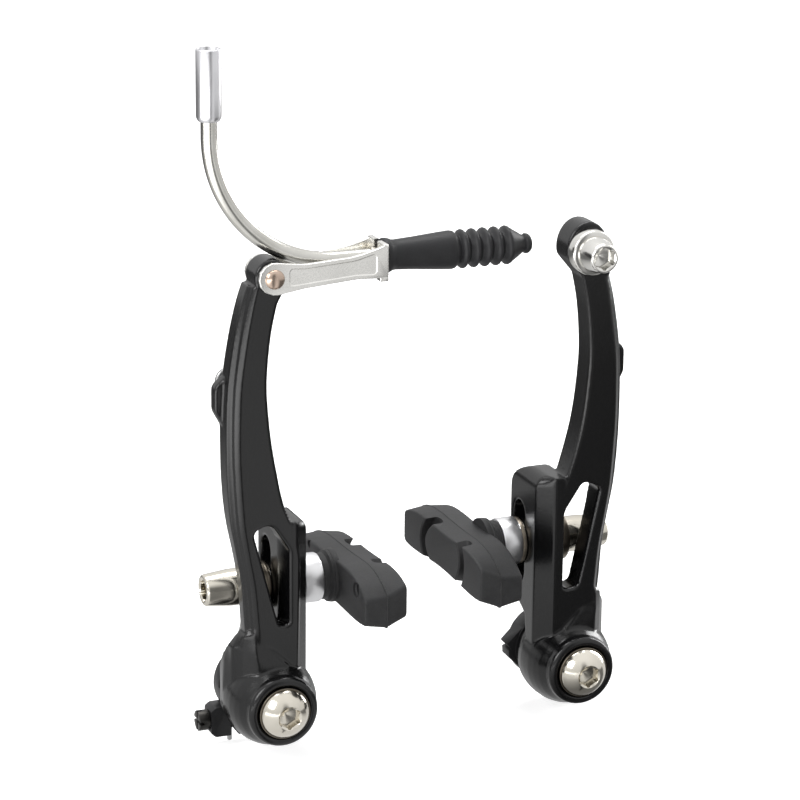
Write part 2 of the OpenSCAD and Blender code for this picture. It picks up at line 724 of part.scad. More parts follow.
outer_cup(LEFT);  // left_outer_cup
outer_cup(RIGHT);  // right_outer_cup
pad_nut(LEFT);  // left_pad_nut
pad_nut(RIGHT);  // right_pad_nut
noodle_link();
link_rivet();
noodle_tube();
noodle_liner();
noodle_ferrule();
noodle_tip();
noodle_boot();
cable_clamp_bolt();
cable_clamp_washer();
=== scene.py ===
# %% [markdown]
# A linear-pull rim brake, dressed for the camera.
#
# The brake is a pair of forged arms. Each one turns on a boss of the bicycle's fork and presses a rubber pad
# on the rim. A bent guide tube brings the cable to the top of the left arm, and the cable then runs to the
# clamp bolt on top of the right arm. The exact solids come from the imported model. This notebook gives them
# their finished surfaces, and it never moves or changes the solids themselves.

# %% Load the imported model
import math

import bmesh
import bpy
import numpy as np
from mathutils import Matrix, Vector


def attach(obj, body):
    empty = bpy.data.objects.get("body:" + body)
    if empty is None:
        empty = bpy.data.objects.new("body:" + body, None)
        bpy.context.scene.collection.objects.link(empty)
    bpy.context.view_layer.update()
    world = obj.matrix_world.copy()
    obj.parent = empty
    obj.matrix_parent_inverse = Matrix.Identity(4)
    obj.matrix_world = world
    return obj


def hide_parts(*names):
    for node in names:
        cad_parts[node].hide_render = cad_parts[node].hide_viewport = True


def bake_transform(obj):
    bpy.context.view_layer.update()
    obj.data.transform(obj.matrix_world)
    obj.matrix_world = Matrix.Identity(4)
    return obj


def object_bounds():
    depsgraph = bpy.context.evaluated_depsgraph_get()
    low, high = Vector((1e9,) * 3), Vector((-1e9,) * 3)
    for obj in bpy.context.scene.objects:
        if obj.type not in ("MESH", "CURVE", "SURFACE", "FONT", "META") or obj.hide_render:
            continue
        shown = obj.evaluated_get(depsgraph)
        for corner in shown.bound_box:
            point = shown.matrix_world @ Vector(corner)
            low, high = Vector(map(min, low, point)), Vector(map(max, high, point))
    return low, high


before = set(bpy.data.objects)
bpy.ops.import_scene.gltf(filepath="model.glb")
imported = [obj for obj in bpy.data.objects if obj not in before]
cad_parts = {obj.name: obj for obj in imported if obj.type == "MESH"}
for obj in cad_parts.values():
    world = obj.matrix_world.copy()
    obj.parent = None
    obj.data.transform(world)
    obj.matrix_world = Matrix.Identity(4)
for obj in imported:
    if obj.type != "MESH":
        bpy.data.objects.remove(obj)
cad_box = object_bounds()
print("model box in mm:", [[round(1000 * x, 2) for x in corner] for corner in cad_box])

# %% [markdown]
# ## The camera
#
# The photograph was taken from about 0.79 m away with a long lens, 22 degrees to the left of straight on and
# 16 degrees above. A camera is its place and three directions: backwards, to the right and up. The picture
# is also rolled by a fraction of a degree, which turns the last two.

# %% Camera
MM = 0.001
# Places that many pieces share, in mm.
PIVOT = 40  # from the middle to each pivot's axis
POST_Y = 13.5  # depth of the pads' posts
CABLE = (41.07, 108.08)  # x and z of the rivet and of the clamp bolt
TUBE = (3.75, 110.3)  # y and z of the guide tube's level run
AIM = np.array([-5.513, 7.0, 72.637])
AZIMUTH, ELEVATION, ROLL = map(math.radians, (-22.05, 16.361, 0.606))
DISTANCE = 789.1

backwards = np.array([
    math.sin(AZIMUTH) * math.cos(ELEVATION),
    -math.cos(AZIMUTH) * math.cos(ELEVATION),
    math.sin(ELEVATION),
])
level_right = np.cross([0, 0, 1], backwards)
level_right /= np.linalg.norm(level_right)
level_up = np.cross(backwards, level_right)
right = math.cos(ROLL) * level_right + math.sin(ROLL) * level_up
up = math.cos(ROLL) * level_up - math.sin(ROLL) * level_right


def linked(name, data):
    """A new object in the scene."""
    made = bpy.data.objects.new(name, data)
    bpy.context.scene.collection.objects.link(made)
    return made


camera = linked("camera", bpy.data.cameras.new("camera"))
camera.data.sensor_width = 36
camera.data.lens = 145.125
camera.data.clip_start, camera.data.clip_end = 0.05, 50
turned_frame = Matrix(np.column_stack([right, up, backwards]).tolist()).to_4x4()
turned_frame.translation = Vector((AIM + DISTANCE * backwards) * MM)
camera.matrix_world = turned_frame
bpy.context.scene.camera = camera

# %% [markdown]
# ## Surfaces as grids of points
#
# Nearly every piece here is a grid: a ring of points that is carried along a line, whether the line is a
# bolt's axis, the height of an arm or the bend of a tube. numpy works out all the points at once, and one
# function turns a grid into a closed mesh. It joins each point to its neighbours with four-sided faces,
# closes both ends, merges the points that fall together on an axis and turns all the faces outwards.

# %% From a grid of points to a mesh
# Directions across, over and along each axis.
AXES = {
    "x": ((0, 1, 0), (0, 0, 1), (1, 0, 0)),
    "y": ((1, 0, 0), (0, 0, 1), (0, 1, 0)),
    "z": ((1, 0, 0), (0, 1, 0), (0, 0, 1)),
}


def shaded(piece, sharp):
    """The piece with smooth shading, broken where it bends by more than the sharp angle."""
    piece.data.shade_smooth()
    piece.data.set_sharp_from_angle(angle=math.radians(sharp))
    return piece


def mesh_piece(name, points, faces, sharp=38):
    """A linked object from points in mm: doubles merged, faces outwards, smooth below the sharp angle."""
    mesh = bpy.data.meshes.new(name)
    mesh.from_pydata((np.asarray(points, float).reshape(-1, 3) * MM).tolist(), [], faces)
    tidy = bmesh.new()
    tidy.from_mesh(mesh)
    bmesh.ops.remove_doubles(tidy, verts=tidy.verts, dist=1e-7)
    bmesh.ops.dissolve_degenerate(tidy, edges=tidy.edges, dist=1e-8)
    bmesh.ops.recalc_face_normals(tidy, faces=tidy.faces)
    tidy.to_mesh(mesh)
    tidy.free()
    return shaded(linked(name, mesh), sharp)


def skin(name, grid, sharp=38):
    """Closed skin over a grid (rows, columns, 3): each row is a closed ring, the first and the last get a face."""
    rows, columns = grid.shape[:2]
    below, j = np.arange(rows - 1)[:, None] * columns, np.arange(columns)[None, :]
    above, after = below + columns, (j + 1) % columns
    faces = np.stack([below + j, below + after, above + after, above + j], -1).reshape(-1, 4).tolist()
    faces += [list(range(columns)), list(range((rows - 1) * columns, rows * columns))]
    return mesh_piece(name, grid, faces, sharp)


def carried(name, rings, heights, axis, sharp=38):
    """Skin over flat rings (rows, columns, 2) drawn across an axis, each at its height along the axis."""
    across, over, along = (np.array(v, float) for v in AXES[axis])
    return skin(name, rings[..., :1] * across + rings[..., 1:] * over + heights[:, None, None] * along, sharp=sharp)


# %% [markdown]
# ## Rounded corners
#
# Pressed, forged and turned metal has no perfectly sharp edge, and it is the thin bright line on a rounded
# edge that makes metal look real. An outline is therefore written as its corners and a radius for each, and
# every corner becomes a short arc. The arc's points are weighted sums of its two end radii, which works for
# a corner that turns either way.

# %% Outlines with rounded corners
def unit(v):
    return v / np.maximum(np.linalg.norm(v, axis=-1, keepdims=True), 1e-12)


def rounded(corners, radii, steps=5):
    """Arcs of the given radii in place of the corners (..., n, 2).
    A corner of half angle h has its arc's ends at r / tan(h) and the centre at r / sin(h) along the bisector."""
    corners = np.asarray(corners, float)
    radii = np.broadcast_to(np.asarray(radii, float), corners.shape[-2:-1])[..., None]
    before, after = np.roll(corners, 1, -2), np.roll(corners, -1, -2)
    to_before, to_after = unit(before - corners), unit(after - corners)
    half = np.arccos(np.clip((to_before * to_after).sum(-1, keepdims=True), -1, 1)) / 2
    half = np.clip(half, 1e-3, math.pi / 2 - 1e-4)
    centre = corners + unit(to_before + to_after) * radii / np.sin(half)
    first = corners + to_before * radii / np.tan(half) - centre
    last = corners + to_after * radii / np.tan(half) - centre
    sweep = (math.pi - 2 * half)[..., None, :]
    t = np.linspace(0, 1, steps + 1)[:, None]
    first, last, centre = first[..., None, :], last[..., None, :], centre[..., None, :]
    arcs = centre + (np.sin((1 - t) * sweep) * first + np.sin(t * sweep) * last) / np.sin(sweep)
    return arcs.reshape(*corners.shape[:-2], -1, 2)


def inset(outline, distance):
    """The outline (n, 2) moved inwards: each point goes along the mitre of its two edges' normals."""
    edge = unit(np.roll(outline, -1, 0) - outline)
    normal = np.stack([-edge[:, 1], edge[:, 0]], -1)
    area = (outline[:, 0] * np.roll(outline[:, 1], -1) - np.roll(outline[:, 0], -1) * outline[:, 1]).sum()
    before = np.roll(normal, 1, 0)
    mitre = (normal + before) / np.maximum(1 + (normal * before).sum(-1, keepdims=True), 0.3)
    return outline + mitre * distance * np.sign(area)


def rim_levels(low, high, radius):
    """Heights and insets of a block whose two rims are quarter circles of the given radius."""
    a = np.linspace(0, math.pi / 2, 5)
    heights = np.concatenate([low + radius * (1 - np.cos(a)), high - radius * (1 - np.cos(a[::-1]))])
    insets = radius * (1 - np.sin(np.concatenate([a, a[::-1]])))
    return np.column_stack([heights, insets])


def block(name, outline, levels, axis):
    """An outline drawn across an axis and carried along it; levels holds (height, inset) for each ring."""
    rings = np.stack([inset(outline, d) for _, d in levels])
    return carried(name, rings, np.array([h for h, _ in levels]), axis)


# %% [markdown]
# ## Turned pieces
#
# Bolts, washers, cups, the ferrule and the boot are all turned about an axis: a profile of distance along
# the axis and radius goes once round. A hexagon socket is the same surface with another radius. At an angle
# t its wall stands at half the width across the flats, divided by the cosine of the angle to the middle of
# the nearest flat. Each row of the grid says how much of that hexagon it has.

# %% Turned pieces, with or without a hexagon socket
def round_skin(name, heights, radius, angles, origin, axis, sharp):
    """Skin about an axis: radius holds (rows, angles) in mm."""
    along = unit(np.array(axis, float))
    across = unit(np.cross(along, [0, 0, 1] if abs(along[2]) < 0.9 else [1, 0, 0]))
    over = np.cross(along, across)
    grid = (
        np.array(origin, float) + heights[:, None, None] * along
        + (radius * np.cos(angles))[..., None] * across + (radius * np.sin(angles))[..., None] * over
    )
    return skin(name, grid, sharp=sharp)


def turned(name, profile, origin, axis, sides=96, sharp=38):
    """profile rows are (along, radius) or (along, radius, share of hexagon), origin is in mm and axis points along."""
    rows = np.array([list(row) + [0] * (3 - len(row)) for row in profile], float)
    t = np.arange(sides) * 2 * math.pi / sides
    flat = (t + math.pi / 6) % (math.pi / 3) - math.pi / 6
    radius = rows[:, 1, None] * (1 + rows[:, 2, None] * (1 / np.cos(flat) - 1))
    return round_skin(name, rows[:, 0], radius, t, origin, axis, sharp)


def socket_rows(mouth, across_flats, depth):
    """Rows of a hexagon socket that opens at height mouth: a small countersink, the flats, and a drilled point."""
    flat = across_flats / 2
    corner = flat / math.cos(math.pi / 6)
    return [
        (mouth, corner + 0.12), (mouth - 0.06, corner + 0.03), (mouth - 0.35, flat, 0.97),
        (mouth - depth, flat, 0.97), (mouth - depth, flat - 0.15, 0.4),
        (mouth - depth - 0.9, 0.4), (mouth - depth - 1, 0),
    ]


# %% [markdown]
# ## Swept wires and tubes
#
# A wire or a tube is a circle carried along a path. The circle has to face along the path without spinning,
# so its two directions are handed on from station to station: each pair is the one before, made square to
# the new direction. The points of all circles then come from one array sum.

# %% Wires and tubes along a path
def smooth_path(points, spacing):
    """A curve through the points (Catmull-Rom), taken at an even spacing along its length."""
    p = np.asarray(points, float)
    p = np.vstack([2 * p[0] - p[1], p, 2 * p[-1] - p[-2]])
    t = np.linspace(0, 1, 24, endpoint=False)[None, :, None]
    a, b, c, d = (p[k:len(p) - 3 + k, None] for k in range(4))
    curve = 0.5 * (2 * b + (c - a) * t + (2 * a - 5 * b + 4 * c - d) * t**2 + (3 * b - a - 3 * c + d) * t**3)
    curve = np.vstack([curve.reshape(-1, p.shape[1]), p[-2]])
    length = np.concatenate([[0], np.cumsum(np.linalg.norm(np.diff(curve, axis=0), axis=1))])
    wanted = np.linspace(0, length[-1], max(2, int(length[-1] / spacing) + 1))
    return np.column_stack([np.interp(wanted, length, curve[:, k]) for k in range(p.shape[1])])


def carried_frames(path):
    """Directions across and over the path at each station, handed on without spin."""
    along = unit(np.gradient(path, axis=0))
    across = unit(np.cross(along[0], [0.3, 0.5, 0.81]))
    kept = []
    for a in along:
        across = unit(across - (across @ a) * a)
        kept.append(across)
    kept = np.array(kept)
    return along, kept, np.cross(along, kept)


def swept(name, path, radius, sides=20, ends=0.0):
    """A round bar along the path; ends is how far its ends are rounded."""
    shares = np.ones(len(path))
    if ends:
        t = np.linspace(0, 1, 5)
        grow = np.sqrt(np.clip(1 - (1 - t) ** 2, 0.02, 1))
        along = carried_frames(path)[0]
        near = path[0] + along[0] * ends * t[:, None]
        far = path[-1] - along[-1] * ends * t[::-1, None]
        keep = np.all([np.linalg.norm(path - end, axis=1) > ends * 1.2 for end in path[[0, -1]]], axis=0)
        path = np.vstack([near, path[keep], far])
        shares = np.concatenate([grow, shares[keep], grow[::-1]])
    _, across, over = carried_frames(path)
    t = np.arange(sides) * 2 * math.pi / sides
    r = (radius * shares)[:, None, None]
    grid = path[:, None] + r * (np.cos(t)[:, None] * across[:, None] + np.sin(t)[:, None] * over[:, None])
    return skin(name, grid)


# %% [markdown]
# ## Finishes
#
# A material is a small graph of nodes. Written by hand it takes dozens of lines, so two small classes help:
# `Level` wraps a socket and lets ordinary sums on it add the Math nodes, and `Finish` holds one material and
# adds any other node in a single call. All patterns read Object coordinates, which are metres in the brake's
# own frame, so a noise scale of 1000 means bumps of about a millimetre.

# %% A material written as expressions
class Level:
    """A socket with a value: + - * / and ** on it add Math nodes."""

    def __init__(self, tree, socket):
        self.tree, self.socket = tree, socket

    def math(self, operation, other, swapped=False):
        node = self.tree.nodes.new("ShaderNodeMath")
        node.operation = operation
        for socket, value in zip(node.inputs, (other, self) if swapped else (self, other)):
            join(self.tree, socket, value)
        return Level(self.tree, node.outputs[0])

    def between(self, low, high):
        """0 below low, 1 above high and a straight ramp in between."""
        node = self.tree.nodes.new("ShaderNodeMapRange")
        join(self.tree, node.inputs["Value"], self)
        node.inputs["From Min"].default_value, node.inputs["From Max"].default_value = low, high
        return Level(self.tree, node.outputs[0])


SUMS = {"add": "ADD", "sub": "SUBTRACT", "mul": "MULTIPLY", "truediv": "DIVIDE", "pow": "POWER"}
for short, operation in SUMS.items():
    setattr(Level, f"__{short}__", lambda self, other, kind=operation: self.math(kind, other))
    setattr(Level, f"__r{short}__", lambda self, other, kind=operation: self.math(kind, other, True))


def parted(tree, vector):
    """The three coordinates of a vector."""
    node = tree.nodes.new("ShaderNodeSeparateXYZ")
    join(tree, node.inputs[0], vector)
    return [Level(tree, output) for output in node.outputs]


def join(tree, socket, value):
    """Puts a wrapped socket, a number or a colour into a socket."""
    if isinstance(value, Level):
        tree.links.new(value.socket, socket)
    elif isinstance(value, tuple) and socket.type == "RGBA":
        socket.default_value = (*value, 1) if len(value) == 3 else value
    else:
        socket.default_value = value


class Finish:
    """One material: a Principled shader and the nodes that feed it."""

    def __init__(self, name, **constants):
        self.material = bpy.data.materials.new(name)
        self.material.use_nodes = True
        self.tree = self.material.node_tree
        self.shader = self.tree.nodes["Principled BSDF"]
        self.place = self.node("ShaderNodeTexCoord", output="Object")
        for socket, value in constants.items():
            self.put(socket.replace("_", " "), value)

    def node(self, kind, settings=(), output=0, **inputs):
        """Any node: settings come first, such as its operation, then the inputs by name, or by number as _0."""
        made = self.tree.nodes.new(kind)
        for key, value in dict(settings).items():
            setattr(made, key, value)
        for key, value in inputs.items():
            join(self.tree, made.inputs[int(key[1:]) if key[0] == "_" else key.replace("_", " ")], value)
        return Level(self.tree, made.outputs[output])

    def put(self, socket, value):
        join(self.tree, self.shader.inputs[socket], value)

    def noise(self, scale, detail=2.0, stretch=(1, 1, 1)):
        """Noise between 0 and 1 with about scale bumps a metre, stretched along the axes."""
        place = self.place
        if stretch != (1, 1, 1):
            place = self.node("ShaderNodeMapping", Vector=place, Scale=stretch)
        return self.node("ShaderNodeTexNoise", Vector=place, Scale=scale, Detail=detail)

    def mix(self, share, first, second):
        """A colour between two, by a share from 0 to 1."""
        return self.node("ShaderNodeMix", {"data_type": "RGBA"}, output=2, _0=share, _6=first, _7=second)

    def relief(self, height, depth):
        """Bumps of the given depth in metres."""
        self.put("Normal", self.node("ShaderNodeBump", Height=height, Distance=depth, Strength=1.0))


# %% [markdown]
# The arms carry a satin black paint over a forging. Close up it isn't flat: the sprayed film dries with a
# fine orange peel about half a millimetre across, and a still finer grain breaks up the edge of every
# highlight. Both are bumps only a few thousandths of a millimetre deep. The film is so dark that nearly all
# its light is reflection, which is weak on the faces turned to the camera and strong on those seen aslant.

# %% Black paint
paint = Finish("arm_paint", Specular_IOR_Level=0.45)
peel = paint.noise(1500, 3)
grain = paint.noise(5200, 2)
cloud = paint.noise(60, 2)
paint.put("Base Color", paint.mix(cloud.between(0.3, 0.7), (0.003, 0.003, 0.0033), (0.005, 0.005, 0.0054)))
paint.put("Roughness", 0.13 + grain * 0.12)
paint.relief(peel * 0.5 + grain * 0.5, 0.00003)

# %% [markdown]
# The bolts are nickel plated: a warm, bright metal with faint polishing scratches. The noodle is drawn
# stainless tube, the link is a bright satin pressing, and the thick cups and the ferrule are turned from
# aluminium, whose fine rings run round their axis.

# %% Bright metals
def metal(name, colour, shade, roughness, spread, scale, stretch=(1, 1, 1), depth=0.000004):
    """A plated or turned metal: two tones in a soft cloud, and fine marks in the gloss and the surface."""
    made = Finish(name, Metallic=1.0)
    marks = made.noise(scale, 3, stretch)
    tone = made.noise(140, 3)
    made.put("Base Color", made.mix(tone.between(0.35, 0.7), colour, shade))
    made.put("Roughness", roughness + marks * spread)
    made.relief(marks, depth)
    return made


nickel = metal("bolt_nickel", (0.70, 0.665, 0.59), (0.61, 0.575, 0.50), 0.1, 0.12, 5200)
clamp_nickel = metal("clamp_nickel", (0.74, 0.73, 0.70), (0.66, 0.65, 0.62), 0.12, 0.12, 5200)
brown_nickel = metal("rivet_nickel", (0.62, 0.49, 0.40), (0.48, 0.37, 0.30), 0.16, 0.14, 4200)
silver = metal("link_silver", (0.83, 0.82, 0.79), (0.77, 0.76, 0.73), 0.2, 0.14, 3800)
stainless = metal("noodle_steel", (0.64, 0.63, 0.595), (0.56, 0.55, 0.51), 0.14, 0.14, 5200)
satin = metal("satin_aluminium", (0.78, 0.78, 0.79), (0.70, 0.70, 0.71), 0.28, 0.14, 3000, (6, 0.4, 0.4))
ferrule_satin = metal("ferrule_aluminium", (0.78, 0.78, 0.80), (0.72, 0.72, 0.74), 0.24, 0.12, 3000, (0.4, 0.4, 6))
bronze = metal("dark_washer", (0.20, 0.175, 0.14), (0.12, 0.105, 0.085), 0.24, 0.2, 2600)
wire_steel = metal("spring_wire", (0.42, 0.42, 0.42), (0.33, 0.33, 0.33), 0.24, 0.14, 4000)
bush_steel = metal("bush_steel", (0.58, 0.57, 0.54), (0.5, 0.49, 0.46), 0.26, 0.14, 3000)

# %% [markdown]
# Rubber and plastic are dark but never black. The pad's compound is a matte charcoal with a dusty bloom and a
# moulded skin, the boot is a softer black rubber, and the spring housings are glass-filled nylon with a
# slightly rough sheen. The tension screws are steel with a black oxide.

# %% Rubber, plastic and black steel
def moulded(name, colour, bloom, roughness, scale, depth, specular=0.3):
    """Rubber or plastic: a base colour under a patchy bloom, with a fine moulded grain."""
    made = Finish(name, Specular_IOR_Level=specular)
    patch, grain = made.noise(260, 4), made.noise(scale, 3)
    made.put("Base Color", made.mix((patch * 0.6 + grain * 0.4).between(0.35, 0.7), colour, bloom))
    made.put("Roughness", roughness + patch * 0.14)
    made.relief(grain, depth)
    return made


pad_rubber = moulded("pad_rubber", (0.026, 0.026, 0.027), (0.040, 0.040, 0.041), 0.5, 2600, 0.00003)
boot_rubber = moulded("boot_rubber", (0.020, 0.020, 0.0215), (0.028, 0.028, 0.030), 0.4, 2200, 0.000016)
nylon = moulded("housing_plastic", (0.010, 0.010, 0.011), (0.016, 0.016, 0.017), 0.32, 3000, 0.00002)
oxide = metal("black_screw", (0.055, 0.053, 0.05), (0.035, 0.034, 0.032), 0.3, 0.2, 3600)
liner_plastic = moulded("liner_plastic", (0.62, 0.61, 0.58), (0.7, 0.69, 0.66), 0.35, 3000, 0.00001)


# %% Put a finished piece in its place
def fit(piece, body, nodes, slot, finish):
    """The piece rides on a body, stands for its CAD nodes and wears a finish; slot is not used."""
    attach(piece, body)
    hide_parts(*nodes)
    piece.data.materials.clear()
    piece.data.materials.append(finish.material)
    size = np.array([v.co for v in piece.data.vertices][:: max(1, len(piece.data.vertices) // 500)])
    print(f"{piece.name}: {len(piece.data.polygons)} faces, about {np.ptp(size, axis=0).round(3).tolist()} m")
    return piece


def dress(node, rows, origin, axis, sides, body, slot, finish, name=None):
    """A turned piece for one CAD node, put in its place."""
    fit(turned(name or f"{node}_dressed", rows, origin, axis, sides), body, [node], slot, finish)


SIDES = {"left": -1, "right": 1}
# The left leg and its pad stand a millimetre further out, and the two pads sit at different heights.
OUT = {"left": 1.0, "right": 0.0}
POSTS = {"left": 27.1, "right": 30.3}
LEG_TOP = {"left": 46.7, "right": 50.2}
SLOT_TOP = {"left": 39.3, "right": 40.9}


def mirrored(piece, side):
    """The piece as drawn for the right side, or its mirror image for the left, with its faces turned outwards again."""
    if side < 0:
        flipped = bmesh.new()
        flipped.from_mesh(piece.data)
        bmesh.ops.scale(flipped, vec=(-1, 1, 1), verts=flipped.verts)
        bmesh.ops.reverse_faces(flipped, faces=flipped.faces)
        flipped.to_mesh(piece.data)
        flipped.free()
    return piece


# %% [markdown]
# ## The arms
#
# A real arm is one forging: a curved blade, an upright leg that carries the pad, a round barrel on the
# pivot, a swelling between the blade and the barrel, a lug for the spring and a boss at the top. All of
# them flow into each other with soft fillets. Each is worked out here as its own closed skin. The skins
# overlap, and a voxel remesh fuses them into one surface as the forging die does, then a few rounds of
# smoothing round every edge by about half a millimetre.

# %% The blade, as level sections from the barrel to the top
BLADE = np.array([
    # height, inner edge, outer edge of the front face, outer edge, depth
    [6, 34.4, 43.6, 46, 6.4], [20, 34.1, 44.6, 47.5, 6.4], [31, 33.9, 45.6, 48.3, 6.4],
    [39, 33.9, 47, 49.6, 6.4], [46, 35.3, 48.1, 50.9, 7], [51.5, 37.3, 48.6, 51.5, 7.6],
    [57.5, 39.1, 49, 51.9, 7.8], [64, 40.6, 49.3, 52.1, 7.8], [72, 41.7, 49.3, 52.1, 7.8],
    [82, 42.3, 48.9, 51.6, 7.8], [93, 41.4, 47.4, 50, 7.6], [101, 39.8, 45.9, 48.2, 7.5],
    [106, 38.4, 44.7, 46.6, 7.5],
])


def blade(side):
    """Rings at 150 heights: a flat front, a soft ridge, a shallow channel, a second ridge and the flat outer side."""
    z, a, f, b, d = smooth_path(BLADE, 0.66).T
    a = a + 0.8 * OUT[side] * np.exp(-((z - 50) / 8) ** 2)
    zero = np.zeros_like(z)
    corners = [
        (a, zero), (f + 0.25, zero), (f + 1.1, zero + 0.75), ((f + b + 1) / 2 - 0.25, zero + 1.86),
        (b - 0.1, zero + 2.3), (b, d), (a, d),
    ]
    corners = np.stack([np.stack(corner, -1) for corner in corners], 1)
    return carried("blade", rounded(corners, [0.7, 0.9, 0.6, 0.9, 0.5, 1.0, 1.0], 6), z, "z")


# %% [markdown]
# The leg, the shoulder and the boss are simpler: each is a level outline whose corners are held inside
# limits that change with the height. Holding a point inside a limit is a single minimum or maximum over the
# whole array, and it bevels or rounds the block as a cutter would.

# %% The leg, the shoulder, the lug, the boss and the barrel
def leg(side):
    """Level outline with a wide front bevel, held behind a rounded top and in front of a sloping underside."""
    top, inner, outer = LEG_TOP[side], 30 + OUT[side], 37.25 + OUT[side]
    arc = 9 * np.sin(np.linspace(0, math.pi / 2, 28))
    z = np.concatenate([np.linspace(2, 18, 25), np.linspace(18.6, top - 9.5, 30), top - 9 + arc])
    over = np.clip((z - top + 9) / 9, 0, 1)
    back = np.where(z > top - 9, 10.5 + 9 * np.sqrt(1 - over**2), np.interp(z, [2, 12, 18], [7.5, 9, 19.5]))
    over = np.clip((z - top + 3.5) / 3.5, 0, 1)
    edge = inner + 3.5 - 3.5 * np.sqrt(1 - over**2)
    outline = rounded(
        [[inner, 3.8], [inner + 3.8, 0], [36.5, 0], [outer, 4.5], [outer, 19.5], [inner, 19.5]],
        [0.6, 0.5, 0.6, 1.5, 0.8, 1.0], 6)
    x = np.maximum(outline[None, :, 0], edge[:, None])
    y = np.minimum(outline[None, :, 1], back[:, None])
    return carried("leg", np.stack([x, y], -1), z, "z")


def shoulder():
    """Level outline held between the crease above the barrel and the outer silhouette."""
    z = np.linspace(-3, 20, 60)
    outline = rounded(
        [[37, -1.2], [43, -1.2], [45.4, -0.5], [47.9, 2], [50, 5], [51.2, 8.5], [50.6, 12.8], [37, 13.6]],
        [0.2, 1.5, 1.5, 1.5, 2, 1.5, 1, 0.2], 5)
    front = np.interp(z, [6, 9, 17.8, 20], [-1.2, -0.9, 0.2, 0.4])
    low = np.interp(z, [10.2, 15.6, 20.5], [37, 42.6, 45])
    high = np.interp(z, [-3, 6, 10, 14.6, 17, 19, 20.5], [51.4, 51.1, 50.9, 50.0, 48.8, 47.2, 45.2])
    back = np.interp(z, [-3, 4, 8, 12, 15.4, 18], [14, 13.2, 12.2, 9.9, 7.4, 6.3])
    x = np.clip(outline[None, :, 0], low[:, None], np.maximum(high, low + 0.1)[:, None])
    y = np.clip(outline[None, :, 1], front[:, None], back[:, None])
    return carried("shoulder", np.stack([x, y], -1), z, "z")


def lug():
    corners = [[49, 68], [51.9, 71], [54.1, 75], [54.1, 81], [51.4, 83.4], [49, 86]]
    outline = rounded(corners, [0.1, 2, 3, 2.5, 1.5, 0.1], 6)
    return block("lug", outline, rim_levels(4.6, 8, 0.5), "y")


def boss(radius, rise, foot, low, high):
    """A round boss over the end of the blade, drawn from the front as a circle and the lines to its foot."""
    a = np.radians(np.linspace(-20, 200, 60))
    cap = np.column_stack([radius * np.cos(a), radius * np.sin(a) + rise * np.clip(np.sin(a), 0, 1)]) + CABLE
    outline = np.vstack([cap, [[39.7, 101.5], [foot, 101.5]]])
    return block("boss", outline, rim_levels(low, high, 0.5), "y")


BARREL = [
    (-5.6, 0), (-5.6, 7.6), (-5.35, 8.3), (-4.9, 8.75), (-4.3, 8.95), (-3.6, 8.95), (-3.15, 8.75), (-2.9, 8.8),
    (-2.3, 9.15), (-0.7, 10.05), (1.2, 10.75), (3.4, 11.25), (5.8, 11.4), (7.6, 11.4), (9.8, 11.1), (11.6, 10.5),
    (13.2, 9.5), (14, 8.6), (14, 0),
]

# %% [markdown]
# The openings are cut with exact booleans while the skins are still simple, then everything is fused. The
# window's front edge has a small chamfer in the photograph, so its cutter flares by half a millimetre
# at the arm's front face.

# %% Cut, fuse and smooth
def settle(piece):
    """Applies the piece's modifiers to its mesh."""
    evaluated = piece.evaluated_get(bpy.context.evaluated_depsgraph_get())
    mesh = bpy.data.meshes.new_from_object(evaluated)
    old = piece.data
    piece.modifiers.clear()
    piece.data = mesh
    bpy.data.meshes.remove(old)
    return piece


def cut(piece, cutter):
    """The piece without the space of the cutter, which is used up."""
    modifier = piece.modifiers.new("cut", "BOOLEAN")
    modifier.operation, modifier.solver, modifier.object = "DIFFERENCE", "EXACT", cutter
    settle(piece)
    bpy.data.objects.remove(cutter)
    return piece


def joined(name, shells):
    """One object that holds the shells' meshes side by side; the shells are used up."""
    whole = bmesh.new()
    for shell in shells:
        whole.from_mesh(shell.data)
        bpy.data.objects.remove(shell)
    mesh = bpy.data.meshes.new(name)
    whole.to_mesh(mesh)
    whole.free()
    return linked(name, mesh)


def fused(name, shells, voxel, rounds):
    """Overlapping closed shells as one smooth skin."""
    piece = joined(name, shells)
    remesh = piece.modifiers.new("fuse", "REMESH")
    remesh.mode, remesh.voxel_size = "VOXEL", voxel * MM
    smooth = piece.modifiers.new("smooth", "SMOOTH")
    smooth.factor, smooth.iterations = 0.5, rounds
    settle(piece)
    piece.data.shade_smooth()
    return piece


WINDOW = {
    "left": ([[36.5, 20.4], [36.5, 39.4], [41.6, 47], [45.9, 45], [39.3, 20.4]], [1.4, 6, 2.6, 1.8, 1.4]),
    "right": ([[36.5, 20.4], [36.5, 40.8], [41.6, 48.5], [46.2, 46.7], [40.6, 20.8]], [1.4, 6, 1.6, 1.8, 1.6]),
}


def window_cutter(side):
    outline = rounded(*WINDOW[side], 8)
    return block("window", outline, [(-1, -0.5), (-0.05, -0.5), (0.5, 0), (20, 0)], "y")


def slot_cutter(side):
    a, half = np.radians(np.linspace(0, 180, 24)), 3.4
    high = np.column_stack([POST_Y + half * np.cos(a), SLOT_TOP[side] - half + half * np.sin(a)])
    low = np.column_stack([POST_Y - half * np.cos(a), 22.9 - half * np.sin(a)])
    levels = [(28, -0.3), (30, -0.3), (30.35, 0), (36.9, 0), (37.25, -0.3), (40, -0.3)]
    return block("slot", np.vstack([high, low]), [(h + OUT[side], d) for h, d in levels], "x")


def bore_cutter():
    rows = [(-9, 0), (-9, 6.9), (-4.9, 6.9), (-4.9, 5.05), (30, 5.05), (30, 0)]
    return turned("bore", rows, (PIVOT, 0, 0), (0, 1, 0), 64)


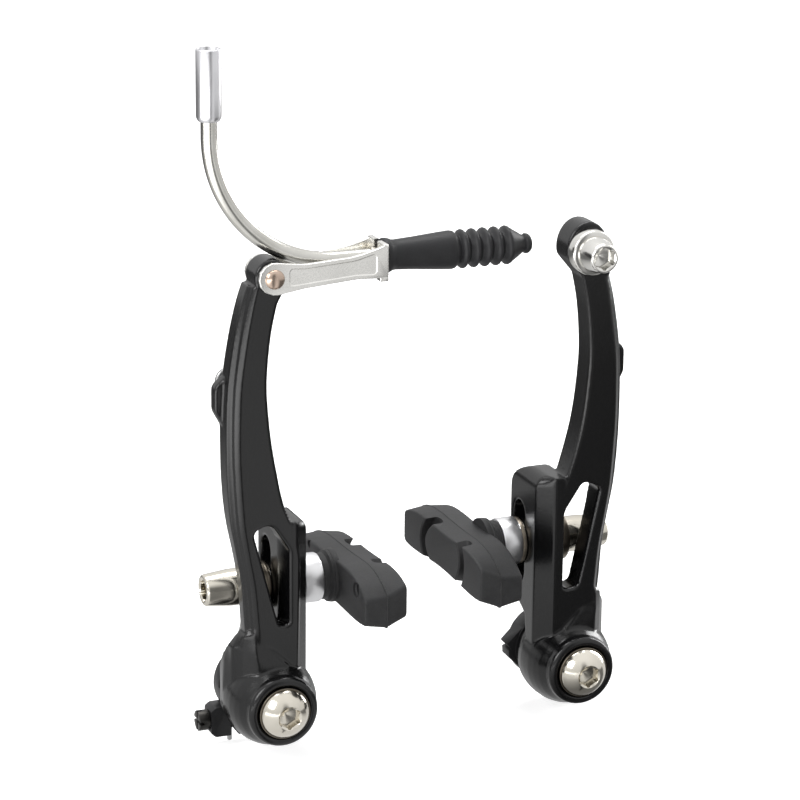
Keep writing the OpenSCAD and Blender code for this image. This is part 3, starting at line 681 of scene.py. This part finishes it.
def hole_cutter(radius):
    """The hole through the boss for the rivet or the clamp bolt."""
    return turned("hole", [(-5, 0), (-5, radius), (20, radius), (20, 0)], (CABLE[0], 0, CABLE[1]), (0, 1, 0), 48)


def arm(side, sign):
    radius, rise, hole, foot = (4.3, 0, 2.05, 44.6) if side == "left" else (5.6, 1.5, 2.6, 47.4)
    shells = [
        cut(cut(blade(side), window_cutter(side)), slot_cutter(side)),
        cut(leg(side), slot_cutter(side)),
        cut(shoulder(), bore_cutter()),
        cut(turned("barrel", BARREL, (PIVOT, 0, 0), (0, 1, 0), 128), bore_cutter()),
        cut(boss(radius, rise, foot, 0, 7.5), hole_cutter(hole)),
        cut(boss(radius, rise, 47.6, 2.4, 7.5), hole_cutter(hole)),
        lug(),
    ]
    return mirrored(fused(f"{side}_arm_forging", shells, 0.33, 5), sign)


for side, sign in SIDES.items():
    fit(arm(side, sign), f"{side}_arm", [f"{side}_arm"], "arm_paint", paint)

# %% [markdown]
# ## Bolts at the pivots
#
# Each arm is held on its boss by a button-head bolt with a hexagon socket, over a thin washer. The dome is
# an arc, so its profile is worked out from a circle, and the socket's rows follow it into the head.

# %% Pivot bolts, washers and bushes
def dome(low, high, edge, mouth):
    """Rows of an arc from radius edge at height low to radius mouth at height high."""
    bend = (edge**2 - mouth**2 - (high - low) ** 2) / (2 * (high - low))
    ball = math.hypot(edge, bend)
    r = np.linspace(edge, mouth, 14)
    return [(low - bend + math.sqrt(max(ball**2 - x**2, 0)), x) for x in r]


for side, sign in SIDES.items():
    rows = [(-12, 0), (-12, 2.6), (-11.6, 2.9), (4.9, 2.9), (4.9, 3.1), (6, 3.1), (6, 5.95), (6.08, 6.1), (6.3, 6.15)]
    rows += dome(6.45, 9.4, 6.1, 3.25)
    rows += socket_rows(9.5, 5, 2.9)
    axle = (sign * PIVOT, 0, 0)
    dress(f"{side}_pivot_bolt", rows, axle, (0, -1, 0), 120, "fork_side", "bolt_nickel", nickel)
    rows = [(5.2, 3.3), (5.2, 6.4), (5.28, 6.5), (5.9, 6.5), (6, 6.4), (6, 3.3), (5.2, 3.3)]
    dress(f"{side}_bolt_washer", rows, axle, (0, -1, 0), 96, "fork_side", "dark_washer", bronze)
    rows = [(-20.6, 4.08), (-20.6, 4.8), (-20.4, 5), (5.1, 5), (5.2, 4.9), (5.2, 4.08), (-20.6, 4.08)]
    dress(f"{side}_pivot_bush", rows, axle, (0, -1, 0), 96, "fork_side", "bright_steel", bush_steel)

# %% [markdown]
# ## Return springs
#
# A coil round each bush pushes the arm away from the rim. Its long leg runs up behind the blade and ends
# in a hook behind the lug. The coil stays with the fork and the leg goes with the arm. Here the whole wire is
# one piece in the brake's own frame, attached to neither body.

# %% Return springs
SPRING_LEG = [
    [46.2, 15.3, 3], [46.8, 15.1, 6.5], [47.2, 13.9, 9.5], [47, 11.8, 12.5], [46.7, 9.4, 15.5], [46.4, 7.6, 18.5],
    [46.3, 7.1, 22], [46.6, 7.1, 31], [47.9, 7.15, 40], [49.1, 8, 46], [49.7, 8.8, 52], [50.2, 8.8, 60],
    [50.6, 8.8, 68], [51.4, 8.8, 75], [52, 8.8, 80], [51.8, 8.8, 82.4], [50.6, 8.8, 83.8], [48.8, 8.8, 84.2],
]
turns = np.linspace(0, 2, 60)
coil = np.column_stack([
    PIVOT + 6 * np.cos(2 * math.pi * turns), 18.6 - 3.3 * turns / 2, 6 * np.sin(2 * math.pi * turns)])
for side, sign in SIDES.items():
    path = smooth_path(np.vstack([[[46, 18.6, -15.4], [46, 18.6, -8], [46, 18.6, -3]], coil, SPRING_LEG]), 0.45)
    spring = swept(f"{side}_return_spring_wire", path * [sign, 1, 1], 0.65, 16, ends=0.4)
    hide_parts(f"{side}_return_spring")
    spring.data.materials.append(wire_steel.material)
    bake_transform(spring)
    print(f"{spring.name}: {len(path)} stations")

# %% [markdown]
# ## Spring housings and tension screws
#
# Behind each barrel a plastic cup holds the coil. Its ear carries the small screw that sets the spring's
# tension, and a wing on the other side stops against the arm. The cup's solid is right as it is. It is
# copied, its loose triangles are merged and its edges get a bevel, as a moulding tool would leave them.

# %% A softened copy of a CAD node
def softened(node, name, width):
    """A copy of a node's mesh with its doubles merged and its edges rounded by a bevel of the given width in mm."""
    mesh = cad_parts[node].data.copy()
    copy = bmesh.new()
    copy.from_mesh(mesh)
    bmesh.ops.remove_doubles(copy, verts=copy.verts, dist=2e-6)
    bmesh.ops.dissolve_limit(copy, angle_limit=math.radians(1), verts=copy.verts, edges=copy.edges)
    copy.to_mesh(mesh)
    copy.free()
    mesh.name = name
    mesh.materials.clear()
    piece = linked(name, mesh)
    bevel = piece.modifiers.new("edges", "BEVEL")
    bevel.width, bevel.segments = width * MM, 2
    bevel.limit_method, bevel.angle_limit = "ANGLE", math.radians(32)
    return shaded(settle(piece), 40)


for side in SIDES:
    cup = softened(f"{side}_spring_housing", f"{side}_housing_cup", 0.25)
    fit(cup, "fork_side", [f"{side}_spring_housing"], "housing_plastic", nylon)
    screw = softened(f"{side}_tension_screw", f"{side}_screw_dressed", 0.15)
    fit(screw, f"{side}_screw", [f"{side}_tension_screw"], "black_screw", oxide)

# %% [markdown]
# ## Pads
#
# Each pad is moulded rubber about fifty millimetres long, bent to follow the rim. The mould parts along a
# seam, so the pad is widest there and has a little draft towards its face and its back. Two grooves, bowed
# away from each other, part the face into three blocks. The back has a sunk panel and a blind hole.

# %% Brake pads
FACE, SEAM, BACK = 9.7, 14.5, 19.7  # depths from the rim side outwards
PAD_MIDDLE, PAD_HALF = 14.5, 25.3  # along the rim
NEAR_FALL = 2.6  # how far the back's upper edge drops at the end near the camera
# How far each pad's middle and its far end are tilted up, as the ball seats let it stand in the photograph.
TILT = {"left": (0.9, -0.3), "right": (0.2, 0.8)}


def tilted(side, t):
    """How far the pad is raised at t, which is -1 at the near end and 1 at the far end."""
    return TILT[side][0] + TILT[side][1] * t


def pad_ring(side, ends, above, below, fall):
    """Side outline at one depth: the face's, grown by ends, above and below, and lowered by fall near the camera."""
    t = np.linspace(-1, 1, 15)
    y, swell = PAD_MIDDLE + (PAD_HALF + ends) * t, 4 * t**2 * (1 - t**2)
    middle, half = POSTS[side] - 0.95 - 0.75 * t - 1.3 * t**2 + tilted(side, t), 4.85 - 0.75 * t**2
    fallen = fall * np.clip(-0.35 - t, 0, 1) ** 2 / 0.42
    low = np.column_stack([y, middle - half - 0.6 * swell - below])
    high = np.column_stack([y, middle + half + swell + above - fallen])
    radii = np.full(15, 18.0)
    radii[[0, -1]] = 1.3
    return rounded(np.vstack([low, high[::-1]]), np.concatenate([radii, radii]), 5)


def pad_levels():
    """Depth and three offsets from face to back: rounded rims, straight draft and a fine flash along the seam."""
    a = np.linspace(0, math.pi / 2, 5)
    front = [(FACE - 0.5 * math.sin(x), *[-0.5 * (1 - math.cos(x))] * 3) for x in a[::-1]]
    drafted = [(x, 0.104 * (x - FACE), 0.104 * (x - FACE), 0.396 * (x - FACE)) for x in (10.5, 12, 13.5, 14.2)]
    flash = [(14.32, 0.48, 0.48, 1.84), (14.42, 0.62, 0.62, 2.06), (14.58, 0.62, 0.62, 2.06), (14.68, 0.49, 0.49, 1.87)]
    rear = [(x, *np.array([0.5, 0.5, 1.9]) - np.array([0.058, 0.077, 0.173]) * (x - SEAM)) for x in (15, 17, BACK)]
    back = [(BACK + 0.7 * math.sin(x), *np.array([0.2, 0.1, 1]) - 0.6 * (1 - math.cos(x))) for x in a[1:]]
    return front + drafted + flash + rear + back


def pad_body(side):
    levels = np.array(pad_levels())
    falls = NEAR_FALL * np.clip((levels[:, 0] - FACE) / (SEAM - FACE), 0, 1)
    rings = np.stack([pad_ring(side, *offsets, fall) for (_, *offsets), fall in zip(levels, falls)])
    return carried(f"{side}_pad_body", rings, levels[:, 0], "x", sharp=32)


def groove_cutter(side, y, z_middle, bow):
    """A groove open at the top and the bottom: a strip along a bowed line, rounded to a narrow floor."""
    z = np.linspace(-8, 7, 40)
    line = np.column_stack([y - bow * ((z - z_middle) / 5) ** 2, z]) + [POST_Y, POSTS[side]]
    along = unit(np.gradient(line, axis=0))
    half = 1.4 * np.column_stack([-along[:, 1], along[:, 0]])
    floor_rows = [(11.7 + 0.95 * math.sin(a), math.cos(a)) for a in np.linspace(0, 1.35, 6)]
    depths = np.array([(8, 1.3), (9.2, 1.3), (9.5, 1)] + floor_rows)
    rings = np.stack([np.vstack([line + w * half, (line - w * half)[::-1]]) for w in depths[:, 1]])
    return carried("groove", rings, depths[:, 0], "x")


def on_post(name, rows, side, sides=64):
    """A piece turned about the post of the right-hand side."""
    return turned(name, rows, (0, POST_Y, POSTS[side]), (1, 0, 0), sides)


def panel_cutter(side):
    """The shallow panel in the back, left out round the collar."""
    levels = [(19.8, 0.25), (19.95, 0), (20.35, -0.2), (21.5, -0.2)]
    panel = block("panel", pad_ring(side, -2, -1.8, -1, NEAR_FALL), levels, "x")
    return cut(panel, on_post("round the collar", [(15, 0), (15, 8.1), (25, 8.1), (25, 0)], side))


COLLAR = [
    (19.4, 0), (19.4, 6.7), (20.6, 6.7), (20.9, 6.5), (21.1, 6.6), (21.5, 6.5), (21.8, 6.1), (22.1, 5.85), (23.4, 5.75),
    (23.6, 5.6), (23.6, 2.9), (19.4, 2.9),
]
for side, sign in SIDES.items():
    body = pad_body(side)
    cut(body, groove_cutter(side, -11.8, -0.5, -2))
    cut(body, groove_cutter(side, 13.6, -1.5, 3))
    cut(body, panel_cutter(side))
    hole = [(17.4, 0), (17.4, 1.6), (19.6, 1.6), (19.9, 1.9), (21, 1.9), (21, 0)]
    cut(body, turned("hole", hole, (0, -5, POSTS[side] + 1.07 + tilted(side, -0.77)), (1, 0, 0), 40))
    mark = [(19.3, 0), (19.3, 0.8), (19.7, 0.8), (19.9, 1.0), (21, 1.0), (21, 0)]
    cut(body, turned("mark", mark, (0, 27.9, POSTS[side] + 3.5), (1, 0, 0), 32))
    pad = joined(f"{side}_pad_rubber", [body, on_post("collar", COLLAR, side, 96)])
    pad.data.transform(Matrix.Translation((OUT[side] * MM, 0, 0)))
    fit(mirrored(shaded(pad, 34), sign), f"{side}_pad", [f"{side}_brake_pad"], "pad_rubber", pad_rubber)

# %% [markdown]
# ## The pad's post and its washers
#
# The threaded post passes through the leg between two pairs of ball washers, which is how the pad can be
# tilted to meet the rim. A thread is a turned surface whose radius also falls and rises with the turn: it
# depends on the distance along the axis less the share of a turn, so the crests climb as a helix.

# %% Threaded posts
def threaded(name, low, high, radius, pitch, depth, origin, axis, sides=48):
    """A round bar whose radius is a rounded triangle wave of (distance / pitch - turn)."""
    h = np.arange(low, high, pitch / 8)
    t = np.arange(sides) / sides
    phase = (h[:, None] / pitch - t) % 1
    run_out = np.clip(np.minimum(h - low, high - h)[:, None] / 0.8, 0, 1)
    r = radius - depth * (1 - np.abs(2 * phase - 1)) ** 1.2 * run_out - 0.3 * (1 - run_out)
    return round_skin(name, h, r, 2 * math.pi * t, origin, axis, 60)


def ball_rows(radius, low, high, centre):
    """Rows on a ball about a point of the axis, between two radii, on the far side from the leg."""
    r = np.linspace(low, high, 12)
    return [(centre + math.sqrt(radius**2 - x**2), x) for x in r]


BALL = 33.625
# Piece, its direction along the post, sides, body, slot, finish and closed profile.
STACK = [
    ("inner_cup", -1, 120, "pad_clamp", "satin_silver", satin, ball_rows(7.74, 2.95, 5.7, -BALL) + [
        (-28.8, 5.95), (-28.7, 6.1), (-28.5, 6.2), (-24.2, 6.2), (-23.85, 6.05), (-23.7, 5.7), (-23.7, 2.95)]),
    ("inner_ball_washer", -1, 96, "pad_seat", "dark_washer", bronze, ball_rows(7.64, 3.7, 5.85, -BALL) + [
        (-29.75, 6), (-29.9, 5.9), (-29.9, 3.7)]),
    ("outer_ball_washer", 1, 96, "pad_seat", "dark_washer", bronze, ball_rows(7.23, 3.7, 5.45, BALL) + [
        (37.55, 5.6), (37.35, 5.5), (37.35, 3.7)]),
    ("outer_cup", 1, 96, "pad_clamp", "dark_washer", bronze, ball_rows(7.33, 2.95, 5.4, BALL) + [
        (38.45, 6.1), (38.55, 6.2), (41.35, 6.2), (41.6, 6.1), (41.75, 5.8), (41.75, 2.95)]),
    ("pad_nut", 1, 120, "pad_clamp", "bolt_nickel", nickel, [
        (41.75, 2.95), (41.75, 4.4), (41.9, 4.6), (46.6, 4.6), (47, 4.57), (52.8, 3.97), (53.15, 3.88),
        (53.4, 3.68), (53.5, 3.35)] + socket_rows(53.5, 5, 3.7)[:-3] + [(49.8, 2.0), (49.75, 2.95)]),
]
for side, sign in SIDES.items():
    spot = (sign * OUT[side], POST_Y, POSTS[side])
    bar = threaded(f"{side}_post_thread", 16, 49.7, 2.9, 1.0, 0.5, spot, (sign, 0, 0))
    fit(bar, f"{side}_pad", [f"{side}_pad_stud"], "bright_steel", bush_steel)
    for node, way, sides, body, slot, finish, rows in STACK:
        dress(f"{side}_{node}", rows + rows[:1], spot, (way * sign, 0, 0), sides, f"{side}_{body}", slot, finish,
              name=f"{side}_{node.replace('ball_washer', 'ball')}_dressed")

# %% [markdown]
# ## Link, rivet and guide tube
#
# The link is a folded sheet: two plates joined by an end wall. Its plates are cut to an outline with a
# narrow waist and turn on the rivet through the left arm. The tube is bent through a right angle, and its
# turned tip sits in the end wall, with the rubber boot beyond it.

# %% The link
link_outline = rounded(
    [[-12.2, 106], [-20.5, 106.3], [-33.5, 105.2], [-40.2, 104.15], [-41.6, 104.2], [-43.4, 104.95],
     [-44.6, 106.35], [-45.02, 108.08], [-44.6, 109.8], [-43.4, 111.2], [-41.6, 112], [-40.2, 111.95],
     [-33.5, 111.1], [-20.5, 111.9], [-15, 113.4], [-12.2, 114.4]],
    [0.5, 20, 20, 1, 1, 1, 1, 1, 1, 1, 1, 1, 20, 25, 8, 0.5], 8)
front_plate = block("link_front", link_outline, rim_levels(-1.7, -0.4, 0.3), "y")
back_plate = block("link_back", link_outline, rim_levels(7.9, 9.2, 0.3), "y")
panel = rounded(
    [[-37.2, 106.2], [-33.5, 106.5], [-20.5, 107.5], [-15.4, 107.3],
     [-15.4, 112.2], [-20.5, 110.8], [-33.5, 109.9], [-37.2, 110.2]],
    [0.8, 8, 8, 0.8, 0.8, 8, 8, 0.8], 6)
cut(front_plate, block("panel", panel, [(-3, -0.25), (-1.7, -0.25), (-1.5, 0)], "y"))
wall = rounded([[-1.6, 106.1], [9.1, 106.1], [9.1, 114.3], [-1.6, 114.3]], 0.3, 4)
end_wall = block("link_end", wall, rim_levels(-13.5, -12.25, 0.2), "x")
a = np.radians(np.linspace(180, 360, 24))
key_round = np.column_stack([1.55 * np.cos(a), 1.55 * np.sin(a)]) + TUBE
keyhole = np.vstack([key_round, [[4.85, 111.4], [4.85, 116], [2.65, 116], [2.65, 111.4]]])
cut(end_wall, block("keyhole", keyhole, [(-15, 0), (-11, 0)], "x"))
toe = rounded([[-1.7, 105.2], [0.9, 105.2], [0.9, 106.4], [-1.7, 106.4]], 0.3, 4)
foot = block("link_foot", toe, rim_levels(-14.4, -12.2, 0.3), "x")
link_piece = joined("cable_link", [front_plate, back_plate, end_wall, foot])
fit(shaded(link_piece, 38), "link", ["noodle_link"], "link_plate", silver)

rows = [(-10.15, 0), (-9.95, 1.2), (-9.6, 2.1), (-9.2, 2.35), (-9.2, 2), (1.7, 2), (1.7, 2.4), (2.05, 2.35),
        (2.4, 2.1), (2.75, 1.5), (2.92, 0.8), (2.95, 0)]
dress("link_rivet", rows, (-CABLE[0], 0, CABLE[1]), (0, -1, 0), 72, "link", "rivet_nickel", brown_nickel)

# %% The guide tube, its liner, ferrule and tip
BEND, FOOT_X, UPRIGHT_X = 32, -23.4, -55.4


def noodle_path(end, top):
    """Level run from x = end, a quarter circle, and an upright run to the height top."""
    quarter = np.linspace(-math.pi / 2, -math.pi, 101)
    middle = TUBE[1] + BEND
    bend = [FOOT_X + BEND * np.cos(quarter), middle + BEND * np.sin(quarter)]
    level = [np.linspace(end, FOOT_X, 20)[:-1], np.full(19, TUBE[1])]
    upright = [np.full(19, UPRIGHT_X), np.linspace(middle, top, 20)[1:]]
    x, z = np.hstack([level, bend, upright])
    return np.column_stack([x, np.full_like(x, TUBE[0]), z])


tube = swept("noodle_tube_drawn", noodle_path(-15, 151), 1.95, 40)
fit(tube, "noodle", ["noodle_tube"], "tube_steel", stainless)
liner = swept("noodle_liner_drawn", noodle_path(-19, 151), 1.2, 24)
fit(liner, "noodle", ["noodle_liner"], "liner_plastic", liner_plastic)

rows = [(0, 1.95), (0, 2.35), (0.25, 2.6), (0.9, 2.95), (1.3, 3), (16.7, 3), (16.9, 2.93), (17, 2.8), (17, 2.65),
        (16.9, 2.6), (5.7, 2.6), (5.7, 1.0), (5.1, 1.0), (5.1, 1.95), (0, 1.95)]
dress("noodle_ferrule", rows, (UPRIGHT_X, TUBE[0], 145.9), (0, 0, 1), 96, "noodle", "satin_silver", ferrule_satin)
rows = [(-4, 0.8), (-4, 1.25), (0, 1.25), (0, 2.4), (0.1, 2.5), (1.0, 2.5), (1.4, 2.2), (1.4, 1.5), (6.6, 1.5),
        (7, 1.2), (7, 0.8), (-4, 0.8)]
dress("noodle_tip", rows, (-15, *TUBE), (1, 0, 0), 72, "noodle", "bright_steel", nickel)

# %% [markdown]
# ## The boot
#
# The boot keeps dirt out of the tube where the bare cable leaves it. It is soft rubber: a lip against the
# link, a tapered sleeve, four bellows and a cone with a nub that grips the cable. The bellows are a wave in
# the radius, sharper at the crests than in the valleys, and the cone's foot is the last crest.

# %% Rubber boot
rows = [(0, 1.5), (0, 3.7), (0.15, 4.1), (0.5, 4.25), (1.4, 4.2), (2.0, 4.0), (2.6, 3.72), (3.4, 3.66), (8, 3.95),
        (13, 4.38), (17, 4.7), (17.8, 4.72), (18.4, 4.6), (18.9, 4.2), (19.3, 3.75)]
for i in range(5):
    x = 20.8 + 2.93 * i
    rows += [(x - 1.05, 3.75), (x - 0.75, 4.2), (x - 0.35, 4.68), (x, 4.8)]
    rows += [(x + 0.35, 4.68), (x + 0.75, 4.25), (x + 1.1, 3.75), (x + 1.46, 3.55)] if i < 4 else [(x + 0.4, 4.66)]
rows += [(33.4, 4.3), (36.7, 2.25), (37.0, 2.1), (37.25, 2.12), (37.45, 2.42), (37.7, 2.52), (38.3, 2.4), (38.8, 2.0),
         (39, 1.6), (39, 0.95), (38.6, 0.9), (4.1, 0.9), (4.1, 1.5), (0, 1.5)]
boot = turned("rubber_boot", rows, (-12.1, *TUBE), (1, 0, 0), 96, sharp=50)
fit(boot, "noodle", ["noodle_boot"], "boot_rubber", boot_rubber)

# %% Cable clamp
rows = [(0, 2.6), (0, 5.05), (0.15, 5.2), (0.5, 5.65), (2.9, 5.65), (3.3, 5.45), (3.5, 5.1), (3.5, 2.6), (0, 2.6)]
clamp = (CABLE[0], 0, CABLE[1])
dress("cable_clamp_washer", rows, clamp, (0, -1, 0), 96, "right_arm", "satin_silver", clamp_nickel,
      name="clamp_washer_dressed")
rows = [(-8.6, 0), (-8.6, 2.3), (-8.3, 2.6), (3.5, 2.6), (3.5, 4.4), (3.6, 4.5), (4.4, 4.5), (8.6, 3.75), (9.2, 3.6),
        (9.5, 3.4), (9.6, 3.2)]
rows += socket_rows(9.6, 5, 3.4)
dress("cable_clamp_bolt", rows, clamp, (0, -1, 0), 120, "right_arm", "bolt_nickel", clamp_nickel,
      name="clamp_bolt_dressed")

# %% [markdown]
# ## Light and background
#
# The photograph is a product shot on white. What polished metal and gloss paint show is the room, so the
# room is drawn for reflections only: white all round, with a dark stripe straight ahead, where the camera
# stands, and a darker patch behind the object. The stripe gives the tubes and the ferrule their grey line.
# The paper under the brake is drawn for reflections too, by place: it makes the left arm greyer than the right
# one and lights the channel along its edge. The camera itself sees plain white.

# %% Floor
low = cad_box[0][2]
floor = mesh_piece("floor", np.array([[-3, -3, low], [3, -3, low], [3, 3, low], [-3, 3, low]]) / MM, [[0, 1, 2, 3]])
paper = Finish("paper", Roughness=0.9, Specular_IOR_Level=0.1, Base_Color=(0.93, 0.93, 0.93))


def room(tree, direction):
    """Brightness of the room in a direction: about 0.9, less straight ahead and straight behind, more overhead."""
    x, y, z = parted(tree, direction)
    flat = (x * x + y * y + 0.0001) ** 0.5
    turn = (x / flat).math("ARCSINE", 0)
    ahead = y.math("LESS_THAN", 0)
    stripe = (turn * turn) ** 0.5
    stripe = (1 - stripe.between(0.1, 0.32)) * ahead * (1 - z.between(0.45, 0.8))
    behind = (x * float(-backwards[0]) + y * float(-backwards[1]) + z * float(-backwards[2])).between(0.9, 0.985)
    return (0.86 + z.between(0.1, 0.9) * 0.3) * (1 - stripe * 0.8) * (1 - behind * 0.62)


def table(tree, position):
    """Brightness of the paper in reflections: white on the left, brightest far out, and grey for the right arm."""
    x, y, _ = parted(tree, position)
    away = (x * x + y * y) ** 0.5
    left = 1 - (x + y * 0.404).between(-0.01, 0.03)
    rim, wing, near = away.between(0.48, 0.57), (x * -1.0).between(0.13, 0.3), 1 - away.between(0.04, 0.1)
    front = 0.22 + left * (1.05 - near * 0.3 + wing * 3.4) + (1 - left) * rim * 0.68
    behind = y.math("GREATER_THAN", 0)
    return front * (1 - behind) + behind * (0.95 - 0.75 * y.between(0.1, 0.27))


def light_paths(tree):
    """Whether a ray is mirrored by a surface, and whether it comes straight from the camera."""
    rays = tree.nodes.new("ShaderNodeLightPath").outputs
    straight = Level(tree, rays["Is Camera Ray"]).math("MAXIMUM", Level(tree, rays["Is Transmission Ray"]))
    return Level(tree, rays["Is Glossy Ray"]), straight


tree = paper.tree
geometry = tree.nodes.new("ShaderNodeNewGeometry").outputs
direction = paper.node("ShaderNodeVectorMath", {"operation": "SCALE"}, _0=Level(tree, geometry["Incoming"]), Scale=-1.0)
mirrored_ray, straight = light_paths(tree)
glow, mirror_glow = (tree.nodes.new("ShaderNodeEmission") for _ in range(2))
join(tree, glow.inputs["Strength"], straight * 0.7)
join(tree, mirror_glow.inputs["Strength"], room(tree, direction) * table(tree, Level(tree, geometry["Position"])))
both, choice = tree.nodes.new("ShaderNodeAddShader"), tree.nodes.new("ShaderNodeMixShader")
for shader, socket in ((paper.shader, both.inputs[0]), (glow, both.inputs[1]), (both, choice.inputs[1]),
                       (mirror_glow, choice.inputs[2]), (choice, tree.nodes["Material Output"].inputs["Surface"])):
    tree.links.new(shader.outputs[0], socket)
join(tree, choice.inputs[0], mirrored_ray)
floor.data.materials.append(paper.material)

# %% World
world = bpy.data.worlds.new("studio")
bpy.context.scene.world = world
world.use_nodes = True
sky = world.node_tree
background = sky.nodes["Background"]
background.inputs["Color"].default_value = (1, 1, 1, 1)
mirrored_ray, straight = light_paths(sky)
direction = Level(sky, sky.nodes.new("ShaderNodeTexCoord").outputs["Generated"])
plain = (1 - mirrored_ray) * 0.36
join(sky, background.inputs["Strength"], straight.math("MAXIMUM", room(sky, direction) * mirrored_ray + plain))

# %% [markdown]
# Three softboxes make the highlights: a large one high on the left for the upper and left faces, a narrow
# one on the right for the thin bright lines along the right edges, and one overhead.

# %% Lamps
def softbox(name, spot, size, watts):
    lamp = linked(name, bpy.data.lights.new(name, "AREA"))
    lamp.data.shape, lamp.data.size, lamp.data.size_y, lamp.data.energy = "RECTANGLE", *size, watts
    lamp.location = spot
    lamp.rotation_euler = (Vector((0, 0, 0.075)) - Vector(spot)).to_track_quat("-Z", "Y").to_euler()


softbox("key", (-0.95, -0.35, 0.7), (0.5, 0.6), 6)
softbox("edge", (0.8, 0.3, 0.3), (0.16, 0.7), 4)
softbox("top", (0.0, 0.3, 0.95), (0.8, 0.4), 5)

view = bpy.context.scene.view_settings
view.view_transform = "Standard"
